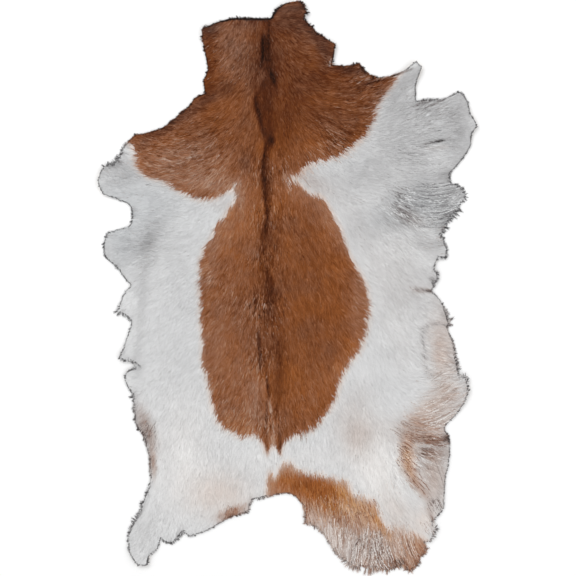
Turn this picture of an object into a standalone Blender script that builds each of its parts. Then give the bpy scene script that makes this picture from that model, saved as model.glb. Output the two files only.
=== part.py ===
"""Goatskin rug: one whole hair-on hide lying flat, with its neck towards +Y.

The hide is one closed solid. Its underside is the flesh side, flat on Z = 0 but for a few
curled edges. Its upper side is the lie of the coat: thin at the cut rim, deeper over the
body, and raised or sunk along the folds and creases of a hide that was packed rolled.
Tufts of hair stand out past the rim as small locks that rest on the floor.

Places are in millimetres from the middle of the hide: x to its right, y towards its neck.
"""

import math
import random
from collections import namedtuple

import bmesh
import bpy
from mathutils import Vector, kdtree, noise
from mathutils.geometry import delaunay_2d_cdt, intersect_line_line_2d

MM = 0.001
SEED = 7

# Coat and skin, in millimetres
RIM_THICKNESS = 2.6      # skin and flattened hair at the cut edge
SKIRT = 34.0             # distance over which the coat reaches its full depth
LEAST_THICKNESS = 1.8    # what is left under the deepest crease
COAT_DEPTH = 6.4         # lie of the coat where no row of COAT says otherwise
DEPTH_SPREAD = 3.0       # how strongly a row of COAT counts at its middle
FOLD_TAPER = 4.0         # how fast a fold rises from its end, in its own lengths
FOLD_END = 0.4           # part of the rise that a fold still has at its end
LUMP_SIZE = 42.0         # width of the coat's broad unevenness
LUMP_RISE = 0.9
TUSSOCK_SIZE = 15.0      # width of its small unevenness
TUSSOCK_RISE = 0.45

# Rim and mesh, in millimetres
FIELD_LENGTH = 1000.0    # ground that the grids of points cover
FIELD_WIDTH = 660.0
RIM_STEP = 6.2           # spacing of the points along the rim
RIM_WOBBLE = 0.7         # unevenness of the knife's cut
WOBBLE_SIZE = 19.0
TOP_SPACING = 15.0       # spacing of the points over the coat
BELOW_SPACING = 45.0     # spacing over the flat underside
CURL_SPACING = 14.0      # spacing over the underside of a curled edge
FOLD_STEP = 8.0          # spacing of the points along a fold
ROW_PITCH = 0.866        # a staggered row's distance from the next, in spacings
JITTER = 0.16            # shift of a grid point, in spacings
CLEAR_OF_RIM = 0.55      # nearest a point comes to the rim, in spacings
LEAST_FROM_RIM = 4.6
CLEAR_OF_BATCH = 0.6     # nearest a point comes to one of an earlier batch, in spacings
CLEAR_OF_NEXT = 0.45     # nearest a point comes to one just added, in spacings
JUST_ADDED = 9           # how many of the latest points a new one is measured against

# Layers of noise, far enough apart to look unrelated
WOBBLE_X, WOBBLE_Y, LUMPS, TUSSOCKS = 1.5, 9.5, 3.0, 6.0

# Locks
MOST_LOCKS = 290
SHORTEST_TUFT = 2.0      # a rim with shorter hair than this has no locks
LOCK_CHANCE = 0.8
LOCK_SHORTEST = 0.7      # length of a lock, as a part of the tuft it stands in
LOCK_LONGEST = 1.5
LOCK_LEAN = 0.4          # sideways lean of a tip, as a part of the lock's root
LOCK_GAP = 1.2           # clear distance from a lock's tip to the rest

Landmark = namedtuple("Landmark", "place x y round tuft")
Fold = namedtuple("Fold", "place x y end_x end_y width rise")
Curl = namedtuple("Curl", "place x y reach rise")
Coat = namedtuple("Coat", "place x y reach depth")

# The rim, clockwise as seen from above. A row is a tip, hollow or bend of the cut edge.
# Columns: place, x, y, round (0 a corner, 1 a smooth bend), tuft (hair past the rim)
NECK = (
    ("left corner", -140, 429, 0.2, 4),
    ("left slope", -111, 443, 0.8, 0),
    ("throat edge", -90, 448, 0.9, 0),
    ("crown foot", -28, 448, 0.1, 0),
    ("crown, left", -19, 462, 0.8, 0),
    ("crown, top", 0, 472, 1.0, 0),
    ("crown, corner", 23, 473, 0.3, 4),
    ("crown, right", 29, 457, 0.7, 6),
    ("cheek hollow", 26, 446, 0.8, 2),
    ("cheek", 47, 423, 0.3, 4),
    ("right corner", 79, 403, 0.0, 0),
    ("side notch", 72, 370, 0.0, 0),
)
RIGHT_SHOULDER = (
    ("shoulder step", 92, 367, 0.3, 3),
    ("step hollow", 98, 364, 0.4, 3),
    ("shoulder tuft", 110, 371, 0.4, 3),
    ("shoulder tuft, end", 120, 370, 0.1, 4),
    ("shoulder fall", 124, 361, 0.3, 5),
    ("shoulder fall, foot", 141, 351, 0.5, 3),
    ("shoulder hollow", 158, 349, 1.0, 0),
    ("rolled edge", 190, 358, 1.0, 0),
    ("elbow tip", 213, 374, 0.3, 2),
    ("elbow corner", 221, 366, 0.4, 0),
    ("leg notch side", 212, 338, 1.0, 0),
)
RIGHT_FORELEG = (
    ("leg notch", 213, 309, 0.0, 0),
    ("leg top", 238, 312, 0.8, 4),
    ("leg top, right", 259, 312, 0.8, 0),
    ("leg rise", 273, 320, 0.4, 3),
    ("leg tip", 290, 323, 0.4, 3),
    ("leg end, upper", 299, 306, 0.9, 0),
    ("leg end, waist", 302, 288, 0.6, 0),
    ("leg end, heel", 308, 280, 0.4, 0),
    ("leg end, point", 313, 266, 0.0, 0),
    ("leg end, lower", 305, 258, 0.5, 0),
    ("leg side", 303, 237, 1.0, 0),
    ("leg back", 291, 217, 1.0, 0),
    ("armpit", 268, 190, 0.2, 3),
)
RIGHT_FLANK = (
    ("armpit, lower", 271, 171, 0.4, 4),
    ("belly hair, upper", 286, 166, 0.3, 5),
    ("belly hair, point", 293, 153, 0.2, 7),
    ("belly hair, lower", 283, 135, 0.5, 8),
    ("belly slope", 269, 118, 0.8, 7),
    ("belly slope, foot", 252, 88, 0.3, 6),
    ("flank bulge", 263, 66, 0.7, 3),
    ("flank bulge, foot", 261, 51, 0.1, 6),
    ("flank pocket", 249, 53, 0.1, 0),
    ("flank edge", 241, 32, 0.5, 0),
    ("flank flap", 248, 22, 0.4, 6),
    ("flank crease", 237, -5, 0.0, 0),
    ("flank, upper", 252, -20, 0.8, 0),
    ("flank", 261, -40, 0.7, 6),
    ("flank step", 267, -58, 0.1, 9),
)
RIGHT_THIGH = (
    ("thigh front, top", 264, -67, 0.3, 0),
    ("thigh front", 273, -90, 1.0, 2),
    ("thigh hair, inner", 280, -131, 0.4, 8),
    ("thigh hair, hollow", 284, -149, 0.2, 7),
    ("thigh hair, outer", 295, -147, 0.2, 6),
    ("thigh, outer", 296, -180, 1.0, 2),
    ("thigh, lower", 280, -208, 0.9, 0),
    ("thigh waist", 260, -231, 0.9, 0),
    ("turned leg, top", 267, -250, 0.6, 3),
    ("turned leg, side", 268, -280, 0.9, 0),
    ("turned leg, lower", 261, -318, 0.9, 0),
    ("turned leg, corner", 257, -367, 0.2, 0),
    ("turned leg, notch", 238, -387, 0.3, 3),
)
RUMP = (
    ("leg stub", 243, -401, 0.3, 7),
    ("leg stub, foot", 236, -419, 0.2, 6),
    ("stub notch", 226, -420, 0.1, 0),
    ("tan edge", 227, -439, 0.4, 6),
    ("tan edge, foot", 217, -447, 0.2, 5),
    ("long hair, right", 212, -461, 0.4, 6),
    ("long hair, corner", 199, -466, 0.3, 9),
    ("hair gap", 195, -456, 0.1, 4),
    ("long hair, middle", 170, -464, 0.8, 9),
    ("long hair, left", 140, -461, 0.8, 11),
    ("long hair, end", 110, -457, 0.4, 13),
    ("rump slope", 80, -436, 0.8, 4),
    ("rump slope, upper", 66, -411, 0.8, 4),
    ("tail step, foot", 45, -392, 0.4, 4),
    ("tail step", 30, -388, 0.1, 6),
    ("tail step, top", 29, -363, 0.3, 0),
    ("tail hollow, right", 14, -345, 1.0, 0),
    ("tail hollow", -3, -339, 1.0, 0),
    ("tail hollow, left", -30, -344, 0.8, 3),
)
LEFT_HIND_LEG = (
    ("rump, left", -60, -351, 0.6, 5),
    ("rump step", -67, -370, 0.2, 3),
    ("rump, tan edge", -98, -380, 0.8, 3),
    ("rump corner", -109, -388, 0.5, 0),
    ("leg, inner", -140, -404, 0.9, 0),
    ("leg tuft", -163, -411, 0.2, 4),
    ("hair bay", -174, -402, 0.4, 8),
    ("leg edge", -186, -416, 0.3, 5),
    ("leg edge, tuft", -199, -422, 0.4, 5),
    ("leg notch", -211, -414, 0.1, 0),
    ("paw, inner", -216, -432, 0.6, 0),
    ("paw, step", -229, -442, 0.2, 0),
    ("paw, end", -233, -458, 0.2, 0),
    ("paw, corner", -247, -458, 0.7, 0),
    ("paw, outer", -262, -436, 1.0, 2),
    ("shank, outer", -260, -402, 0.9, 5),
    ("shank", -245, -376, 0.8, 6),
    ("shank, upper", -238, -353, 0.9, 5),
)
LEFT_FLANK = (
    ("hock", -226, -322, 0.9, 2),
    ("thigh, lower", -228, -282, 1.0, 3),
    ("thigh", -236, -250, 1.0, 3),
    ("thigh, upper", -251, -222, 0.8, 3),
    ("flank nick", -254, -179, 0.1, 5),
    ("flank lobe", -269, -152, 1.0, 0),
    ("flank lobe, top", -264, -138, 0.1, 4),
    ("flank notch", -243, -131, 0.1, 3),
    ("flank notch, top", -255, -120, 0.3, 4),
    ("flank corner", -276, -117, 0.1, 4),
    ("flank, middle", -269, -93, 1.0, 0),
    ("flank hollow", -258, -58, 0.4, 0),
    ("flank hollow, top", -263, -47, 0.3, 6),
    ("flank point", -280, -37, 0.1, 5),
    ("flank, upper", -273, -14, 0.9, 0),
    ("flank nip", -259, 3, 0.1, 0),
    ("elbow, lower", -278, 30, 0.8, 2),
)
LEFT_FORELEG = (
    ("elbow", -303, 56, 0.8, 2),
    ("elbow, upper", -299, 90, 0.5, 2),
    ("elbow, top", -284, 95, 0.8, 0),
    ("armpit, lower", -262, 103, 0.8, 0),
    ("armpit", -256, 122, 0.6, 4),
    ("armpit, upper", -262, 138, 0.7, 0),
    ("leg, lower", -286, 150, 0.8, 0),
    ("leg end, lower", -305, 158, 0.9, 0),
    ("leg end", -313, 175, 0.9, 0),
    ("leg end, upper", -307, 196, 0.6, 2),
    ("leg hair", -291, 203, 0.4, 7),
    ("leg hair, hollow", -279, 209, 0.3, 9),
    ("leg top", -270, 234, 0.7, 5),
    ("cape corner", -252, 254, 0.4, 0),
    ("cape edge", -240, 255, 0.6, 0),
    ("cape edge, middle", -205, 267, 0.9, 0),
    ("cape edge, upper", -187, 280, 0.7, 4),
    ("shoulder", -163, 302, 0.9, 0),
    ("shoulder, top", -149, 318, 0.6, 3),
)
LEFT_NECK = (
    ("neck foot", -136, 322, 0.1, 0),
    ("neck side, lower", -139, 345, 0.8, 2),
    ("neck side, nip", -132, 361, 0.4, 0),
    ("neck side", -136, 388, 0.9, 0),
    ("neck side, upper", -139, 404, 0.4, 5),
)
RIM = (NECK + RIGHT_SHOULDER + RIGHT_FORELEG + RIGHT_FLANK + RIGHT_THIGH + RUMP
       + LEFT_HIND_LEG + LEFT_FLANK + LEFT_FORELEG + LEFT_NECK)

# Creases sink and folds stand up, along a straight stretch with tapered ends.
# Columns: place, x, y, end_x, end_y, width, rise (below 0 for a crease)
FOLDS = (
    ("neck crease, left", -42, 418, -43, 368, 4, -2.6),
    ("neck crease, right", -33, 449, -31, 368, 4, -2.6),
    ("neck crease, kink", -36, 366, -19, 332, 6, -2.4),
    ("mane edge", -52, 316, -46, 270, 6, -1.8),
    ("mane edge, lower", -47, 276, -29, 243, 6, -2.0),
    ("spine, shoulder", -31, 248, -40, 196, 7, -1.4),
    ("spine, back", -39, 200, -37, 66, 8, -1.0),
    ("spine, loin", -40, 58, -42, -84, 15, 1.1),
    ("spine, croup", -41, -84, -33, -262, 13, 1.0),
    ("shoulder slit", 220, 238, 264, 246, 4, -3.0),
    ("rolled elbow", 150, 345, 211, 368, 6, 3.4),
    ("armpit fold", 214, 297, 256, 309, 5, -2.0),
    ("belly swirl", 176, 160, 206, 108, 12, 1.6),
    ("flank crease", 208, -4, 239, -5, 5, -3.2),
    ("flank roll, upper", 240, -62, 222, -80, 10, 1.5),
    ("flank roll", 223, -76, 226, -122, 11, 2.2),
    ("flank roll, lower", 226, -118, 234, -146, 10, 1.4),
    ("turned leg, crease", 222, -265, 268, -246, 6, -3.0),
    ("turned leg, edge", 263, -262, 252, -366, 14, 4.2),
    ("turned leg, trough", 212, -268, 228, -372, 16, -1.6),
    ("armpit, left", -256, 126, -232, 134, 6, -1.4),
    ("shoulder dip, left", -246, 98, -218, 64, 26, -1.4),
    ("shoulder dip, right", 130, 104, 216, 140, 34, -1.2),
    ("hind leg dip, left", -214, -300, -196, -396, 30, -1.2),
    ("packing wave, left", -178, 132, -172, -286, 60, 1.3),
    ("packing wave, right", 176, 84, 170, -356, 60, 1.2),
)

# Edges that curl off the floor. The underside lifts with them.
# Columns: place, x, y, reach, rise
CURLS = (
    ("crown", 16, 478, 62, 6.0),
    ("right corner of the neck", 84, 404, 46, 5.0),
    ("rolled elbow", 216, 376, 58, 7.0),
    ("right foreleg", 316, 272, 54, 4.5),
    ("flank flap", 256, 26, 44, 4.0),
    ("right thigh", 302, -166, 60, 5.0),
    ("leg stub", 250, -404, 42, 3.5),
    ("left paw", -250, -462, 56, 5.5),
    ("left flank lobe", -276, -126, 44, 4.5),
    ("left foreleg", -318, 178, 60, 5.5),
    ("left corner of the neck", -146, 432, 50, 4.5),
)

# Depth of the coat by place. Columns: place, x, y, reach, depth
COAT = (
    ("neck", -40, 400, 110, 5.6),
    ("cape", -60, 260, 120, 6.6),
    ("right foreleg", 250, 260, 70, 5.0),
    ("left foreleg", -270, 180, 60, 4.8),
    ("belly, right", 230, 140, 70, 7.8),
    ("saddle", -10, -40, 150, 6.8),
    ("left flank", -240, -60, 90, 5.8),
    ("thigh, right", 250, -170, 80, 7.2),
    ("turned leg", 240, -320, 60, 6.2),
    ("rump", 140, -430, 90, 9.0),
    ("left hind leg", -230, -400, 90, 5.4),
)


def clear_scene():
    """Removes whatever objects the scene holds."""
    for item in list(bpy.data.objects):
        bpy.data.objects.remove(item, do_unlink=True)


def smooth(value):
    """A soft step: 0 at 0 and below, 1 at 1 and above."""
    value = min(max(value, 0.0), 1.0)
    return value * value * (3.0 - 2.0 * value)


def uneven(point, size, layer):
    """Smooth noise between about -1 and 1, one swell every size millimetres."""
    return 2.0 * noise.noise(Vector((point.x / size, point.y / size, layer)))


def curve_between(before, start, end, after, part):
    """Point on the rim between two landmarks. A landmark's roundness scales its tangent."""
    corner = [Vector((mark.x, mark.y)) for mark in (before, start, end, after)]
    span = (corner[2] - corner[1]).length
    lead = (corner[2] - corner[0]) / ((corner[1] - corner[0]).length + span)
    trail = (corner[3] - corner[1]) / (span + (corner[3] - corner[2]).length)
    square, cube = part * part, part * part * part
    return ((2 * cube - 3 * square + 1) * corner[1]
            + (cube - 2 * square + part) * span * start.round * lead
            + (3 * square - 2 * cube) * corner[2]
            + (cube - square) * span * end.round * trail)


def rim_points():
    """Points along the cut edge, with the length of the hair that stands past each."""
    marks = [Landmark(*row) for row in RIM]
    count = len(marks)
    points = []
    tufts = []
    for index, start in enumerate(marks):
        before = marks[index - 1]
        end = marks[(index + 1) % count]
        after = marks[(index + 2) % count]
        length = math.dist((start.x, start.y), (end.x, end.y))
        steps = max(1, round(length / RIM_STEP))
        for step in range(steps):
            part = step / steps
            point = curve_between(before, start, end, after, part)
            if step > 0:
                point.x += RIM_WOBBLE * uneven(point, WOBBLE_SIZE, WOBBLE_X)
                point.y += RIM_WOBBLE * uneven(point, WOBBLE_SIZE, WOBBLE_Y)
            points.append(point)
            tufts.append(start.tuft + (end.tuft - start.tuft) * part)
    return points, tufts


def inside(point, rim):
    """True where a point lies within the rim."""
    crossings = 0
    for index, end in enumerate(rim):
        start = rim[index - 1]
        if (start.y > point.y) != (end.y > point.y):
            reach = start.x + (point.y - start.y) * (end.x - start.x) / (end.y - start.y)
            crossings += reach > point.x
    return crossings % 2 == 1


def tree_of(points):
    """A search tree over flat points, for the distance to the nearest."""
    tree = kdtree.KDTree(len(points))
    for index, point in enumerate(points):
        tree.insert((point.x, point.y, 0.0), index)
    tree.balance()
    return tree


def distance_to(tree, point):
    """Distance from a flat point to the nearest point of a tree."""
    return tree.find((point.x, point.y, 0.0))[2]


def curl_height(point):
    """Height of the underside above the floor."""
    height = 0.0
    for row in CURLS:
        curl = Curl(*row)
        away = math.dist((point.x, point.y), (curl.x, curl.y))
        height = max(height, curl.rise * smooth(1.0 - away / curl.reach))
    return height


def fold_rise(point):
    """Sum of the creases and folds at a point, each a soft ridge with tapered ends."""
    rise = 0.0
    for row in FOLDS:
        fold = Fold(*row)
        start = Vector((fold.x, fold.y))
        line = Vector((fold.end_x, fold.end_y)) - start
        part = (point - start).dot(line) / line.length_squared
        near = start + line * min(max(part, 0.0), 1.0)
        across = (point - near).length / fold.width
        taper = smooth(FOLD_TAPER * (0.5 - abs(part - 0.5)) + FOLD_END)
        rise += fold.rise * taper * math.exp(-2.0 * across * across)
    return rise


def coat_depth(point):
    """Depth of the lying coat, blended from the places in COAT."""
    total = 1.0
    depth = COAT_DEPTH
    for row in COAT:
        coat = Coat(*row)
        away = math.dist((point.x, point.y), (coat.x, coat.y)) / coat.reach
        weight = DEPTH_SPREAD * math.exp(-away * away)
        total += weight
        depth += weight * coat.depth
    return depth / total


def top_height(point, from_rim):
    """Height of the coat's upper side above the floor."""
    skirt = smooth(from_rim / SKIRT)
    depth = RIM_THICKNESS + (coat_depth(point) - RIM_THICKNESS) * skirt
    lumps = LUMP_RISE * uneven(point, LUMP_SIZE, LUMPS)
    lumps += TUSSOCK_RISE * uneven(point, TUSSOCK_SIZE, TUSSOCKS)
    depth += lumps * skirt
    if from_rim > 0.0:
        depth += fold_rise(point)
    return curl_height(point) + max(depth, LEAST_THICKNESS)


def fold_points():
    """Points on and beside each narrow fold, so that the mesh follows it."""
    points = []
    for row in FOLDS:
        fold = Fold(*row)
        if fold.width > TOP_SPACING:
            continue
        start = Vector((fold.x, fold.y))
        line = Vector((fold.end_x, fold.end_y)) - start
        across = Vector((-line.y, line.x)).normalized() * fold.width
        steps = max(2, round(line.length / FOLD_STEP))
        for step in range(steps + 1):
            for side in (0, -1, 1):
                points.append(start + line * (step / steps) + across * side)
    return points


def grid_points(spacing):
    """A staggered grid of points over the hide, jittered so that no rows show."""
    chance = random.Random(SEED)
    rows = round(FIELD_LENGTH / (2.0 * spacing * ROW_PITCH))
    columns = round(FIELD_WIDTH / (2.0 * spacing))
    points = []
    for row in range(-rows, rows + 1):
        for column in range(-columns, columns + 1):
            x = column + 0.5 * (row % 2) + chance.uniform(-JITTER, JITTER)
            y = row * ROW_PITCH + chance.uniform(-JITTER, JITTER)
            points.append(Vector((x, y)) * spacing)
    return points


def spread(rim, batches):
    """Points within the rim, batch by batch, each clear of the rim and of the ones before."""
    rim_tree = tree_of(rim)
    kept = []
    for points, gap in batches:
        kept_tree = tree_of(kept) if kept else None
        batch = []
        for point in points:
            if distance_to(rim_tree, point) < max(gap * CLEAR_OF_RIM, LEAST_FROM_RIM):
                continue
            if kept_tree and distance_to(kept_tree, point) < gap * CLEAR_OF_BATCH:
                continue
            if any((point - other).length < gap * CLEAR_OF_NEXT for other in batch[-JUST_ADDED:]):
                continue
            if inside(point, rim):
                batch.append(point)
        kept += batch
    return kept


def triangles(rim, inner):
    """Delaunay triangles of a layer: the rim's points first, then the inner ones."""
    points = rim + inner
    edges = [(index, (index + 1) % len(rim)) for index in range(len(rim))]
    found, _, faces, *_ = delaunay_2d_cdt(points, edges, [list(range(len(rim)))], 1, 1e-4)
    if len(found) != len(points):
        raise ValueError("the rim crosses itself")
    return [tuple(face) for face in faces]


def lock_tips(rim, tufts):
    """Places of the rim's locks: the index of a rim stretch and the tip of its lock."""
    chance = random.Random(SEED + 1)
    count = len(rim)
    sides = [(rim[index], rim[(index + 1) % count]) for index in range(count)]
    tips = {}
    order = list(range(count))
    chance.shuffle(order)
    for index in order:
        start, end = sides[index]
        tuft = 0.5 * (tufts[index] + tufts[(index + 1) % count])
        lean = chance.uniform(-LOCK_LEAN, LOCK_LEAN)
        length = tuft * chance.uniform(LOCK_SHORTEST, LOCK_LONGEST)
        if tuft < SHORTEST_TUFT or chance.random() > LOCK_CHANCE or len(tips) >= MOST_LOCKS:
            continue
        root = end - start
        outward = Vector((-root.y, root.x)).normalized()
        tip = (start + end) / 2 + root * lean + outward * length
        if lock_is_clear(index, tip, sides, tips):
            tips[index] = tip
    return tips


def lock_is_clear(index, tip, sides, tips):
    """True where a lock crosses nothing and its tip is clear of the rim and other locks."""
    start, end = sides[index]
    others = [side for place, side in enumerate(sides) if place != index]
    for place, other in tips.items():
        others += [(sides[place][0], other), (other, sides[place][1])]
    for first, second in others:
        line = second - first
        part = min(max((tip - first).dot(line) / line.length_squared, 0.0), 1.0)
        if (tip - first - line * part).length < LOCK_GAP:
            return False
        for root in (start, end):
            if root not in (first, second) and intersect_line_line_2d(root, tip, first, second):
                return False
    return True


def hide_mesh():
    """The hide's closed mesh: coat, underside, rim wall and locks."""
    rim, tufts = rim_points()
    rim_tree = tree_of(rim)
    curled = [point for point in grid_points(CURL_SPACING) if curl_height(point) > 0.0]
    coat_points = spread(rim, ((fold_points(), 0.6 * FOLD_STEP),
                               (grid_points(TOP_SPACING), TOP_SPACING)))
    below_points = spread(rim, ((curled, CURL_SPACING),
                                (grid_points(BELOW_SPACING), BELOW_SPACING)))
    tips = lock_tips(rim, tufts)

    body = bmesh.new()

    def add(point, height):
        return body.verts.new((point.x * MM, point.y * MM, height * MM))

    below_rim = [add(point, curl_height(point)) for point in rim]
    above_rim = [add(point, top_height(point, 0.0)) for point in rim]
    below = below_rim + [add(point, curl_height(point)) for point in below_points]
    above = above_rim + [add(point, top_height(point, distance_to(rim_tree, point)))
                         for point in coat_points]
    for face in triangles(rim, coat_points):
        body.faces.new([above[index] for index in face])
    for face in triangles(rim, below_points):
        body.faces.new([below[index] for index in reversed(face)])
    for index in range(len(rim)):
        after = (index + 1) % len(rim)
        wall = (below_rim[index], below_rim[after], above_rim[after], above_rim[index])
        if index not in tips:
            body.faces.new(wall)
            continue
        tip = add(tips[index], min(curl_height(rim[index]), curl_height(rim[after])))
        for side in range(4):
            body.faces.new((wall[side], wall[(side + 1) % 4], tip))
    bmesh.ops.recalc_face_normals(body, faces=body.faces)
    across = [vertex.co.x for vertex in body.verts]
    along = [vertex.co.y for vertex in body.verts]
    middle = Vector((min(across) + max(across), min(along) + max(along), 0.0)) / 2
    bmesh.ops.translate(body, verts=body.verts, vec=-middle)
    mesh = bpy.data.meshes.new("goatskin")
    body.to_mesh(mesh)
    body.free()
    return mesh


def coat_material():
    """Pale goat hair over tanned skin."""
    material = bpy.data.materials.new("goat hair")
    material.use_nodes = True
    shader = material.node_tree.nodes["Principled BSDF"]
    shader.inputs["Base Color"].default_value = (0.62, 0.52, 0.46, 1.0)
    shader.inputs["Roughness"].default_value = 0.7
    shader.inputs["Metallic"].default_value = 0.0
    return material


clear_scene()
hide = bpy.data.objects.new("goatskin", hide_mesh())
hide.data.materials.append(coat_material())
bpy.context.scene.collection.objects.link(hide)
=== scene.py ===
"""Looks of the goatskin rug.

The hide is a thin sheet with the solid's own rim, curls and folds. Its coat lies on it hair by
hair: blades in joined meshes, each rooted in the skin, lying as the coat lies there, and with
the colour of the place it grows from. Tufts stand out past the rim where the solid has locks.

Places are in millimetres from the middle of the hide: x to its right, y towards its neck.
Angles are in degrees, anticlockwise from +X. A tone is a warmth, from 0 for cool grey to 1 for
orange brown, and a lightness, from 0 for black to 1 for white.
"""

import math
from collections import namedtuple

import bmesh
import bpy
import numpy as np
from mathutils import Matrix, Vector, kdtree
from mathutils.bvhtree import BVHTree


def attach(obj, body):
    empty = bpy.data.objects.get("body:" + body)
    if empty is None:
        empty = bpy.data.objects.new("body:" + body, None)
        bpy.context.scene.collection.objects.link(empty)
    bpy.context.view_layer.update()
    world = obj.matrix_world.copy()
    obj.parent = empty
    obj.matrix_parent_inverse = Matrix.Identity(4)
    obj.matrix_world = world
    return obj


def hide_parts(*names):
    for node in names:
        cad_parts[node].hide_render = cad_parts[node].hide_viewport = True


MM = 0.001
SEED = 23
SAME_POINT = 1e-6  # the solid's points this near each other, in metres, are one
SAME_PLACE = 0.02  # the rim's upper and lower points lie this near each other in plan
NO_LENGTH = 1e-9  # stands for 0 where a length divides

# Camera, floor and light, in metres
CAMERA_HEIGHT = 2.4
VIEW_WIDTH = 0.956  # floor that the picture spans
VIEW_MIDDLE = 0.0008  # the picture's middle, right of the hide's
VIEW_DEPTH = 20.0
SENSOR = 36.0
FLOOR_SIZE = 14.0
FLOOR_GAP = 0.0002  # keeps the floor and the underside from showing through each other
STUDIO_LIGHT = 0.82  # strength of the even light from all round

# Grids of values on the ground, in millimetres
STEP = 2.0
HALF_WIDTH = 340.0
HALF_LENGTH = 500.0
BEFORE_THE_LAST = 1.001  # keeps places off a grid's last point
SPILL = 14  # steps by which values are carried past the rim
TOP_SOFTENING = 3  # times that the coat's top is softened
BASE_SOFTENING = 2
RAY_START = 1.0  # metres above and below the hide
RIM_PARTS = (0, 0.33, 0.67)  # where the points of each side of the rim lie that distances start at
BEND_STEP = 0.25  # part of a patch's side from point to point of its rounded outline

# Skin and coat, in millimetres
SKIN = 1.5  # tanned skin at the cut edge
UNDERCOAT = 0.42  # part of the coat's depth that its short underhair fills
THINNEST_COAT = 0.6
ROOT_SPACING = 1.09
ROOTS_INSIDE = 0.5  # how far inside the rim roots start
HAIR_LENGTH = 19.0  # where no row of LENGTHS says otherwise
LENGTH_SHARE = 3.0  # how far a row of LENGTHS outweighs that
LENGTH_SPREAD = (0.7, 1.2)
HAIR_WIDTH = 1.05
WIDTH_SPREAD = (0.7, 1.35)
WIDEST_AT = 0.42  # part of a blade's length
REACH_OF_ROOT = 0.80  # part of its length at which a hair shows most
REACH_STRAY = 0.11  # how far a wisp's sway moves that place
LEAST_REACH = 0.3
GUARD_HAIRS = 0.10  # share of hairs that are longer, thinner, paler and on top
GUARD_LENGTH = 1.25
GUARD_WIDTH = 0.7
GUARD_TONE = 0.05
HAIR_CLEAR = 0.25  # how far above the flesh side a hair lies at least
ROOT_SUNK = 0.08  # how far a root sinks in the undercoat, as part of the coat's depth
MIDDLE_TOP = 0.92  # the highest that a blade's widest place lies in the coat
MIDDLE_LIFT = (0.35, 0.5)  # how high that place lies, without lift and for each lift
TIP_LIFT = (0.25, 0.75)
LIFT = 0.5  # how high hairs lie in the coat, and what locks and chance add
LOCK_LIFT = 0.30
HAIR_LIFT = 0.22
LEAST_LIFT = 0.05
SINKING = 0.6  # part of its height that hair loses past the rim
SINKING_SPAN = 4.0

# How the coat lies
FLOW_REACH = 26.0  # how far a row of FLOW sways the coat
FLOW_FADE = 2.5
LOCK_SWAY = 11.0  # degrees by which whole locks stray
LOCK_SIZE = 13.0
BROAD_LOCKS = (0.7, 2.3)  # how much broader sways add, and how much broader they are
HAIR_SWAY = 6.0  # degrees by which single hairs stray
HAIR_BEND = 0.16  # bend of a hair, in radians, by chance and with its lock
LOCK_BEND = 0.10
ROLL = 20.0  # degrees by which blades of rough hair turn about their length
WISP = 2.5  # roots that lie this near share a wisp
WISP_TURN = 27.0  # the wisps' grid lies askew, so that no rows show
WISP_STRAY = 0.18
WISP_MIDDLES = (0.25, 0.75)
WISP_SWAY = 8.0
CLUMPING = 0.55  # how far the tips of a wisp draw together
CUTS = 6  # times that a hair past the rim is cut back
CUT_SHARE = 0.8
SHORTEST = 1.5
SMOOTH_WHITE = 0.20  # roughness where no row of ROUGH adds to it
SMOOTH_BROWN = 0.46

# Unevenness of tone, from the coarsest to the finest
MOTTLE_SIZE = 34.0
DAPPLE_SIZE = 13.0
RAGGED_SIZE = 9.0
DAPPLE_SHARE = 0.6
CLOUDY = 0.024  # broad clouds of lighter and darker hair
PALE_CLOUDY = 0.4  # how much of that shows in cool hair
WARM_HAIR = 0.4
WARMER_CLOUDS = 0.05  # and of warmer hair
WARMER_DAPPLE = 0.04
WARMER_HAIR = 0.01
LOCK_TONE = 0.030
STRAND_TONE = 0.046
WISP_TONE = 0.066
HAIR_TONE = 0.065
PALE_TONE = 0.30  # how much of that unevenness white hair shows
PALE_ABOVE = 0.78  # hair lighter than this shows no more
PALE_SPAN = 0.34
SHEEN = 1.15  # how far a lighter strand is greyer too, as hair that catches the light
CALM_BELOW = 0.34  # hair darker than this is the more even, the darker it is
CALMEST = 0.85
BROKEN = 0.28  # how far hair rougher than this breaks up a change of tone
BROKEN_FROM = 0.6
BROKEN_RANGE = (0.3, 1.7)
BLADE_TONES = (-0.10, 0.0, 0.0, 0.03)  # lightness that roughness adds at a root, two sides and a tip; the darker root paints the shade between hairs
TONE_RANGE = (0.01, 0.99)
SHEET_DARKER = 0.10  # how much darker the sheet is than the coat on it
# the rim's dark: the cut edge's own dark, with painted shadow at the hide's edge
SHEET_RIM_DARKER = 0.45
SHEET_RIM = 2.0

# Patches, and where they meet
EDGE_BLEND = 5.2  # width over which white and brown hair mix
EDGE_STRAY = 2.5  # how far single hairs' patches stray
LINK_MIDDLE = 180.0  # where the saddle runs on into the cape
LINK_HALF_LENGTH = 22.0
LINK_SIDES = (-78.0, -8.0)

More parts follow.
